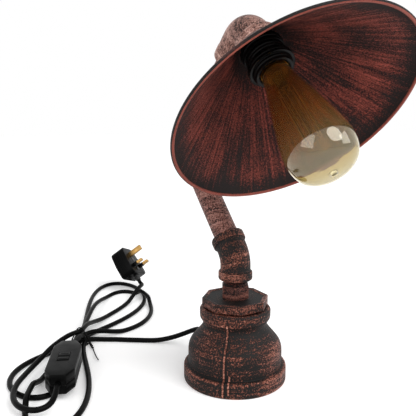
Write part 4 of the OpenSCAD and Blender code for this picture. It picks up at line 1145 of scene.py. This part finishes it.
CAP_TURNS = 4
CAP_PITCH = 3.1
thread = []
for i in range(CAP_TURNS):
    foot = BULB_CAP_S + 2.5 + i * CAP_PITCH
    thread += [(foot, CAP_RADIUS - 0.9, 0), (foot + 0.8, CAP_RADIUS - 0.1, 0.4),
               (foot + 1.6, CAP_RADIUS - 0.1, 0.4), (foot + 2.4, CAP_RADIUS - 0.9, 0)]
bulb_cap = turned("bulb_screw_cap", rounded([
    (BULB_CAP_S, CAP_RADIUS - 1.6, 0), (BULB_CAP_S, CAP_RADIUS - 0.9, 0), *thread,
    (NECK_S - 1, CAP_RADIUS - 0.1, 0), (NECK_S, CAP_RADIUS - 0.1, 0),
    (NECK_S, CAP_RADIUS - 0.6, 0), (NECK_S - 1, CAP_RADIUS - 0.6, 0),
    (BULB_CAP_S + 1, CAP_RADIUS - 1.6, 0), (BULB_CAP_S, CAP_RADIUS - 1.6, 0),
], 2), sides=64)
put(bulb_cap, TOP_CORNER, HEAD_TURN)
# Darkened brass: painted shade of the bulb's neck, so that the cap stays dark behind the glass
shaded_brass = clouded("shaded_brass_cap", size=4.55, detail=4.0,
                    tones=("#6e5830", "#2e2413"), dull=0.45, Metallic=1.0)
finished(bulb_cap, shaded_brass, "bulb", "brass", "bulb_cap")

# Clear pressed glass: a faint grey-green rod that only its edges give away
clear_glass, tree, shader = new_material("clear_pressed_glass")
feed(shader, {"Base Color": linear("#d9ddd2"), "Roughness": 0.05, "IOR": 1.3,
              "Transmission Weight": 1.0})
FLARE_RADIUS = CAP_RADIUS - 0.8
stem = turned("pressed_stem", rounded([
    (NECK_S - 6, FLARE_RADIUS, 0), (NECK_S - 2, FLARE_RADIUS, 0.8), (NECK_S - 1, 6.6, 1),
    (NECK_S + 18, 4.2, 2), (NECK_S + 21, 2.4, 1), (NECK_S + 24, 1.7, 1), (NECK_S + 78, 1.7, 1),
    (NECK_S + 80, 2.3, 0.8), (NECK_S + 82, 1.2, 0.5),
]), sides=48)
put(stem, TOP_CORNER, HEAD_TURN)
finished(stem, clear_glass, "bulb", "clear_glass", "bulb_stem")

WIRE_RADIUS = 0.25
CAGE_RADIUS = 8
CAGE_TOP_S = NECK_S + 23
CAGE_END_S = NECK_S + 79
STRAND_COUNT = 10
SUPPORT_COUNT = 5
zigzag = []
for i in range(STRAND_COUNT):
    way = 2 * pi * i / STRAND_COUNT
    ends = (CAGE_TOP_S, CAGE_END_S) if i % 2 == 0 else (CAGE_END_S, CAGE_TOP_S)
    zigzag += [(CAGE_RADIUS * cos(way), CAGE_RADIUS * sin(way), s) for s in ends]
wires = [add_wire("filament_cage", zigzag, WIRE_RADIUS)]
# Supports reach out from the stem to the cage's radius, each midway between two strands
for s, shift in ((CAGE_TOP_S, 0.25), (CAGE_END_S - 1, 0.75)):
    for i in range(SUPPORT_COUNT):
        way = 2 * pi * (i + shift) / SUPPORT_COUNT
        reach = ((1.5, s), (4.5, s + 0.5), (CAGE_RADIUS, s))
        wires.append(add_wire("filament_support", [
            (radius * cos(way), radius * sin(way), z) for radius, z in reach
        ], WIRE_RADIUS))
cage = joined(wires)
put(cage, TOP_CORNER, HEAD_TURN)
# Carbon-coated wire: dull brown-gold threads, unlit
filament_wire = clouded("carbon_coated_wire", size=5, detail=2.0,
                        tones=("#a07a46", "#6e4c24"), dull=0.35, Metallic=0.6)
finished(cage, filament_wire, "bulb", "filament_wire", "filament")


# --- Underside and gland -------------------------------------------------------------------------
# A painted steel plate closes the base, with a felt pad glued under it. The flex leaves the
# back of the bell through a black rubber gland whose ribbed tail takes the bend.

# Stoved black enamel: even and half dull, with the dimples of orange peel
black_sheet, tree, shader = new_material("black_enamelled_sheet")
where = node(tree, "TexCoord").outputs["Object"]
orange_peel = node(tree, "TexNoise", {"Vector": where, "Scale": per(2.86),
                                      "Detail": 2.0}).outputs["Fac"]
bump = node(tree, "Bump", {"Height": orange_peel, "Strength": 0.2, "Distance": 0.0003})
feed(shader, {"Base Color": linear("#141313"), "Roughness": 0.45, "Normal": bump.outputs[0]})
finish_node("base_plate", black_sheet)

# Pressed felt: no gloss at all, with charcoal fibres over black, drawn coarse to show
felt_wool, tree, shader = new_material("pressed_black_felt")
where = node(tree, "TexCoord").outputs["Object"]
fibre = node(tree, "TexNoise", {"Vector": where, "Scale": per(1.11), "Detail": 5.0,
                                "Roughness": 0.8}).outputs["Fac"]
tone = node(tree, "Mix", {0: fibre, 6: linear("#0f0f10"), 7: linear("#242426")},
            data_type="RGBA").outputs[2]
bump = node(tree, "Bump", {"Height": fibre, "Strength": 0.8, "Distance": 0.0006})
feed(shader, {"Base Color": tone, "Roughness": 0.95, "Normal": bump.outputs[0]})
finish_node("base_pad", felt_wool)

GLAND_Z = 25
GLAND_REACH = 78
GLAND_FLANGE = 3
GLAND_RADIUS = 6
GLAND_HEAD_RADIUS = 8
GLAND_TAPER = 2
GROOVE_COUNT = 6
CORD_HOLE = CORD_RADIUS + 0.05
tail_start = BELL_RADIUS + GLAND_FLANGE + 0.1
groove_pitch = (GLAND_REACH - tail_start - 4) / GROOVE_COUNT
grooves = []
for i in range(GROOVE_COUNT):
    foot = tail_start + 1.5 + i * groove_pitch
    wide = GLAND_RADIUS - GLAND_TAPER * (foot - tail_start) / (GLAND_REACH - tail_start)
    grooves += [(foot, wide, 0.3), (foot + 0.6, wide - 0.9, 0.3),
                (foot + 1.5, wide - 0.9, 0.3), (foot + 2.1, wide - 0.1, 0.3)]
gland_start = CAVITY_RADIUS - GLAND_FLANGE
gland = turned("ribbed_gland", rounded([
    (gland_start, CORD_HOLE, 0), (gland_start, GLAND_RADIUS, 0.5),
    (BELL_RADIUS + 0.1, GLAND_RADIUS, 0), (BELL_RADIUS + 0.1, GLAND_HEAD_RADIUS, 0.5),
    (BELL_RADIUS + 2.8, GLAND_HEAD_RADIUS, 1), (tail_start, GLAND_RADIUS + 0.2, 0.4),
    *grooves, (GLAND_REACH, 3.9, 0.5), (GLAND_REACH, CORD_HOLE, 0), (gland_start, CORD_HOLE, 0),
], 2), sides=48)
put(gland, (0, 0, GLAND_Z), (-90, 0, 0))
# Moulded rubber: dull black, with the grey bloom that rubber gets with age
black_rubber = clouded("moulded_black_rubber", size=3.85, detail=3.0,
                       tones=("#0d0d0e", "#1c1c1d"), dull=0.6)
finished(gland, black_rubber, "base", "black_rubber", "cord_gland")


# --- Wire tie ------------------------------------------------------------------------------------
# A plastic-covered wire tie goes twice round the waist of the bundle, is twisted under it,
# and its free end springs out to the side.

TIE_RADIUS = 0.7
TIE_INNER = CORD_RADIUS + 1.5
band_way = Vector((*heading(WAIST_HEADING), 0))
band_side = Vector((*heading(WAIST_HEADING + 90), 0))


def round_bundle(angle, along):
    """A point on the line that wraps the three outer strands of the waist."""
    way = Vector((cos(angle), sin(angle)))
    middles = [Vector((slot[0] * STRAND_STEP, slot_z(slot))) for slot in (LEAD, LEFT, CROWN)]
    u, z = max(middles, key=lambda m: m.dot(way)) + way * TIE_INNER
    x, y = WAIST
    return Vector((x, y, 0)) + band_side * u + band_way * along + UP * z


TIE_STEPS = 80
TIE_START = radians(-60)
TIE_OFFSET = 1.2
TIE_LEAD = 1.5
wrap = [
    round_bundle(TIE_START + 4 * pi * i / TIE_STEPS, TIE_OFFSET + TIE_LEAD * i / TIE_STEPS)
    for i in range(TIE_STEPS + 1)
]
FREE_END_ROUTE = [(-113.4, 156.5, 3.6), (-113, 150, 3), (-115, 140, 2.2), (-118, 124, 1.5),
                  (-120, 107, 1.2)]
free_end = laid([wrap[-1], *FREE_END_ROUTE], 5)
TWIST_TURNS = 3
TWIST_RADIUS = 1.1
TWIST_STEPS = 30
twist_start = Vector((-113.2, 157.5, 3.8))
twist_end = Vector((-113.8, 145, 2.6))
twist = []
for i in range(TWIST_STEPS + 1):
    swing = 2 * pi * TWIST_TURNS * i / TWIST_STEPS
    around = Vector((cos(swing), 0, sin(swing))) * TWIST_RADIUS
    twist.append(twist_start.lerp(twist_end, i / TWIST_STEPS) + around)
tie = joined([
    add_wire("wire_tie", [*wrap, *free_end[1:]], TIE_RADIUS),
    add_wire("wire_tie_twist", twist, TIE_RADIUS),
])
finished(tie, flex_pvc, "base", "black_rubber", "twist_tie")


# --- Inline switch -------------------------------------------------------------------------------
# A rocker switch in two ABS halves, screwed together from below. The ends taper to the flex,
# the halves meet in a fine groove, and the rocker sits in a framed opening in the top.

SWITCH_WIDTH = 31
SWITCH_HEIGHT = 21
SWITCH_TAPER = 15
SWITCH_END = 16
ROCKER_LENGTH = 20
ROCKER_WIDTH = 12
ROCKER_PIVOT = SWITCH_HEIGHT - 5
SWITCH_TURN = (0, 0, SWITCH_HEADING)

# Glossy moulded ABS: black, with fingermarks in the gloss and a faint spark-eroded texture,
# which is drawn several times as coarse as the real one to show
gloss_abs, tree, shader = new_material("moulded_black_abs")
where = node(tree, "TexCoord").outputs["Object"]
texture = node(tree, "TexNoise", {"Vector": where, "Scale": per(0.91), "Detail": 2.0}).outputs["Fac"]
smear = node(tree, "TexNoise", {"Vector": where, "Scale": per(14.3), "Detail": 3.0}).outputs["Fac"]
dull = node(tree, "MapRange", {"Value": smear, "From Min": 0.3, "From Max": 0.7,
                               "To Min": 0.26, "To Max": 0.42}).outputs[0]
bump = node(tree, "Bump", {"Height": texture, "Strength": 0.12, "Distance": 0.0002})
feed(shader, {"Base Color": linear("#030303"), "Roughness": dull, "IOR": 1.54,
              "Specular IOR Level": 0.05, "Normal": bump.outputs[0]})


def start_block(name, low, high):
    """A block between two corners in millimetres, open for editing."""
    low, high = Vector(low), Vector(high)
    bpy.ops.object.select_all(action="DESELECT")
    bpy.ops.mesh.primitive_cube_add(size=1)
    piece = bpy.context.object
    piece.name = name
    bpy.ops.object.mode_set(mode="EDIT")
    bpy.ops.mesh.select_mode(type="VERT")
    bpy.ops.mesh.select_all(action="SELECT")
    bpy.ops.transform.resize(value=(high - low) * MM, center_override=(0, 0, 0))
    bpy.ops.transform.translate(value=(high + low) * (MM / 2))
    return piece


def switch_half(name, low_z, high_z, top, opening):
    """One half shell: a block whose ends are drawn in, with its outer edges rounded."""
    half = SWITCH_LENGTH / 2
    shoulder = half - SWITCH_TAPER
    piece = start_block(name, (-half, -SWITCH_WIDTH / 2, low_z), (half, SWITCH_WIDTH / 2, high_z))
    slice_at((1, 0, 0), (-shoulder, shoulder))
    select_faces(piece, lambda c, n: abs(n.x) > 0.9 and abs(c.x) > half - 1)
    bpy.ops.transform.resize(value=(1, SWITCH_END / SWITCH_WIDTH, 1), center_override=(0, 0, 0))
    bevelled(piece, 1.6, 3, 20)
    reopen(piece)
    if opening:
        length, width, depth = opening
        slice_at((1, 0, 0), (-length / 2, length / 2))
        slice_at((0, 1, 0), (-width / 2, width / 2))
        select_faces(piece, lambda c, n: (
            n.z * top > 0.9 and abs(c.x) < length / 2 and abs(c.y) < width / 2
        ))
        bpy.ops.mesh.extrude_region_move(TRANSFORM_OT_translate={"value": (0, 0, -top * depth * MM)})
    close_up(piece, 30)
    return piece


ROCKER_GAP = 0.8
ROCKER_OPENING = (ROCKER_LENGTH + ROCKER_GAP, ROCKER_WIDTH + ROCKER_GAP, 6.2)
switch_bottom = switch_half("switch_bottom", 0, SWITCH_SPLIT - 0.25, -1, None)
switch_top = switch_half("switch_top", SWITCH_SPLIT + 0.15, SWITCH_HEIGHT, 1, ROCKER_OPENING)
# The groove where the halves meet shows the lip that locates them
LIP_HALF = 1.8
LIP_SHRINK = (0.985, 0.955, 1)
switch_lip = switch_half("switch_lip", SWITCH_SPLIT - LIP_HALF, SWITCH_SPLIT + LIP_HALF, 1, None)
reopen(switch_lip)
bpy.ops.mesh.select_all(action="SELECT")
bpy.ops.transform.resize(value=LIP_SHRINK, center_override=(0, 0, 0))
bpy.ops.object.mode_set(mode="OBJECT")

# The rocker hangs below its pivot in the middle only, and its top dips there
ROCKER_HANG = 3
ROCKER_BELOW = 2.5
ROCKER_ABOVE = 5.6
END_LIFT = 3.5
TOP_DIP = 1
rocker_half = ROCKER_LENGTH / 2 - ROCKER_GAP
rocker = start_block("switch_rocker_key", (-rocker_half, -ROCKER_WIDTH / 2, -ROCKER_BELOW),
                     (rocker_half, ROCKER_WIDTH / 2, ROCKER_ABOVE))
slice_at((1, 0, 0), (-ROCKER_HANG, 0, ROCKER_HANG))
select_faces(rocker, lambda c, n: n.z < -0.9 and abs(c.x) > ROCKER_HANG)
bpy.ops.transform.translate(value=(0, 0, END_LIFT * MM))
bpy.ops.mesh.select_mode(type="VERT")
bpy.ops.mesh.select_all(action="DESELECT")
bpy.ops.object.mode_set(mode="OBJECT")
for point in rocker.data.vertices:
    point.select = abs(point.co.x) < 0.1 * MM and point.co.z > 0
bpy.ops.object.mode_set(mode="EDIT")
bpy.ops.transform.translate(value=(0, 0, -TOP_DIP * MM))
bevelled(rocker, 0.5, 2, 12)

# Two grip ridges are moulded across each end of the rocker
RIDGE_HALF = 0.3
RIDGE_REACH = 4.4
rocker_pieces = [rocker]
for x in (-7.4, -6.2, 6.2, 7.4):
    ridge = start_block("rocker_ridge", (x - RIDGE_HALF, -RIDGE_REACH, ROCKER_ABOVE - 1),
                        (x + RIDGE_HALF, RIDGE_REACH, ROCKER_ABOVE + 0.15))
    bevelled(ridge, 0.2, 2, 30)
    rocker_pieces.append(ridge)
joined(rocker_pieces)

for piece in (switch_bottom, switch_top, switch_lip):
    put(piece, SWITCH_AT, SWITCH_TURN)
put(rocker, Vector(SWITCH_AT) + UP * ROCKER_PIVOT, SWITCH_TURN)
finished(switch_bottom, gloss_abs, "base", "black_plastic", "switch_base")
finished(switch_top, gloss_abs, "base", "black_plastic", "switch_cover")
finished(switch_lip, gloss_abs, "base", "black_plastic")
finished(rocker, gloss_abs, "rocker", "black_plastic", "switch_rocker")


# --- Plug ----------------------------------------------------------------------------------------
# A three-pin mains plug in glossy black urea: a hollow back cover and a pin face, screwed
# together, with solid brass pins, black roots on the line pins and a fuse in its carrier.

PLUG_WIDTH = 49
PLUG_CORNER = 7
PLUG_WAIST_Y = -1.5
PLUG_TOP_HALF = 18.5
EARTH_Y = 11.5
LINE_Y = -10.7
LINE_APART = 22.2
EARTH_SIZE = (4, 8)
LINE_SIZE = (6.35, 4)
EARTH_LENGTH = 22.7
LINE_LENGTH = 17.7
FUSE_SIZE = (8.5, 14)
FUSE_Y = -0.5
FUSE_GAP = 0.3
FUSE_POCKET = 3.1
GRIP_BANDS = ((-8, -6.6), (-4.8, -3.4), (-1.6, -0.2))
GRIP_DEPTH = 0.8
ROOT_WALL = 0.45
ROOT_LENGTH = 8
FACE_Z = PLUG_DEPTH / 2


def plug_half(name, low_z, high_z, outer_z, soft):
    """One half of the plug: a block drawn in toward the earth end, its upright edges
    rounded widely and the edge round its outer face softly."""
    half = PLUG_WIDTH / 2
    piece = start_block(name, (-half, -PLUG_HEIGHT / 2, low_z), (half, PLUG_HEIGHT / 2, high_z))
    slice_at((0, 1, 0), (PLUG_WAIST_Y,))
    select_faces(piece, lambda c, n: n.y > 0.9)
    bpy.ops.transform.resize(value=(PLUG_TOP_HALF / half, 1, 1), center_override=(0, 0, 0))
    bpy.ops.mesh.select_mode(type="EDGE")
    bpy.ops.mesh.select_all(action="DESELECT")
    bpy.ops.object.mode_set(mode="OBJECT")
    points = piece.data.vertices
    for side in piece.data.edges:
        a, b = (points[i].co for i in side.vertices)
        side.select = abs((a - b).normalized().z) > 0.9 and abs(a.y) > 0.02
    bpy.ops.object.mode_set(mode="EDIT")
    bpy.ops.mesh.bevel(offset=PLUG_CORNER * MM, segments=6, affect="EDGES")
    select_faces(piece, lambda c, n: abs(n.z) > 0.9 and abs(c.z - outer_z) < 0.1)
    bpy.ops.mesh.region_to_loop()
    bpy.ops.mesh.bevel(offset=soft * MM, segments=4, affect="EDGES")
    return piece


plug_face = plug_half("plug_pin_face", FACE_Z - PLUG_SPLIT, FACE_Z, FACE_Z, 1.2)
# The fuse pocket is sunk into the pin face
fuse_x, fuse_y = FUSE_SIZE
pocket_x = fuse_x / 2 + FUSE_GAP
pocket_y = fuse_y / 2 + FUSE_GAP
slice_at((1, 0, 0), (-pocket_x, pocket_x))
slice_at((0, 1, 0), (FUSE_Y - pocket_y, FUSE_Y + pocket_y))
select_faces(plug_face, lambda c, n: (
    n.z > 0.9 and abs(c.x) < pocket_x and abs(c.y - FUSE_Y) < pocket_y and c.z > FACE_Z - 0.1
))
bpy.ops.mesh.extrude_region_move(TRANSFORM_OT_translate={"value": (0, 0, -FUSE_POCKET * MM)})
close_up(plug_face, 35)
plug_back = plug_half("plug_back_cover", -FACE_Z, FACE_Z - PLUG_SPLIT - 0.3, -FACE_Z, 2.4)
# Finger grips: the sides of the cover are pressed in along three bands
slice_at((0, 0, 1), [z for band in GRIP_BANDS for z in band])
select_faces(plug_back, lambda c, n: (
    abs(n.z) < 0.3 and any(below < c.z < above for below, above in GRIP_BANDS)
))
bpy.ops.mesh.extrude_region_shrink_fatten(TRANSFORM_OT_shrink_fatten={"value": -GRIP_DEPTH * MM})
close_up(plug_back, 35)

# Brass pins: pale where sockets have rubbed them, brown and duller between
brass_pin = clouded("worn_brass_pin", size=6.67, detail=4.0, tones=("#b8935a", "#7d6136"),
                    dull=(0.25, 0.5), Metallic=1.0)


def add_pin(name, x, y, size, length):
    """A drawn brass pin whose end is chamfered on all four sides."""
    wide, deep = size
    piece = start_block(name, (x - wide / 2, y - deep / 2, FACE_Z - PLUG_SPLIT + 1),
                        (x + wide / 2, y + deep / 2, FACE_Z + length))
    select_faces(piece, lambda c, n: n.z > 0.9)
    bpy.ops.mesh.bevel(offset=1.1 * MM, segments=2, affect="EDGES")
    bevelled(piece, 0.25, 2, 60)
    return piece


earth_pin = add_pin("earth_pin_brass", 0, EARTH_Y, EARTH_SIZE, EARTH_LENGTH)
line_pins = [
    add_pin("line_pin_brass", side * LINE_APART / 2, LINE_Y, LINE_SIZE, LINE_LENGTH)
    for side in (-1, 1)
]
roots = []
for side in (-1, 1):
    x = side * LINE_APART / 2
    wide, deep = (measure / 2 + ROOT_WALL for measure in LINE_SIZE)
    root = start_block("pin_root", (x - wide, LINE_Y - deep, FACE_Z + 0.05),
                       (x + wide, LINE_Y + deep, FACE_Z + ROOT_LENGTH))
    bevelled(root, 0.4, 2, 60)
    roots.append(root)
line_pin_pair = joined(line_pins)
root_pair = joined(roots)
fuse_key = start_block("fuse_carrier_key", (-fuse_x / 2, FUSE_Y - fuse_y / 2, FACE_Z - 3),
                       (fuse_x / 2, FUSE_Y + fuse_y / 2, FACE_Z + 0.2))
bevelled(fuse_key, 0.5, 2, 60)
relief_s = -PLUG_HEIGHT / 2 - PLUG_RELIEF
relief = turned("plug_flex_sleeve", rounded([
    (0, CORD_HOLE, 0), (0, 3.9, 0.5), (1.6, 4.1, 0.3), (2, 3.7, 0.2), (3, 3.7, 0.2),
    (3.4, 4.3, 0.3), (4.8, 4.4, 0.3), (5.2, 3.9, 0.2), (6.2, 3.9, 0.2), (6.6, 4.5, 0.3),
    (PLUG_RELIEF + 3, 4.5, 0), (PLUG_RELIEF + 3, CORD_HOLE, 0), (0, CORD_HOLE, 0),
], 2), sides=32)
put(relief, (0, relief_s, FACE_Z - PLUG_SPLIT), (-90, 0, 0))

for piece, body, paint, slot_name, replaced in (
    (plug_face, "base", gloss_abs, "black_plastic", "plug_body"),
    (plug_back, "base", gloss_abs, "black_plastic", "plug_cover"),
    (earth_pin, "base", brass_pin, "pin_brass", "earth_pin"),
    (line_pin_pair, "base", brass_pin, "pin_brass", "line_pins"),
    (root_pair, "base", gloss_abs, "black_plastic", "pin_sleeves"),
    (fuse_key, "fuse", phenolic, "black_plastic", "fuse_carrier"),
    (relief, "base", black_rubber, "black_rubber", "plug_relief"),
):
    put(piece, PLUG_AT, PLUG_TURN)
    finished(piece, paint, body, slot_name, replaced)
finish_node("plug_fuse", cream_ceramic)
finish_node("plug_screw", zinc_steel)
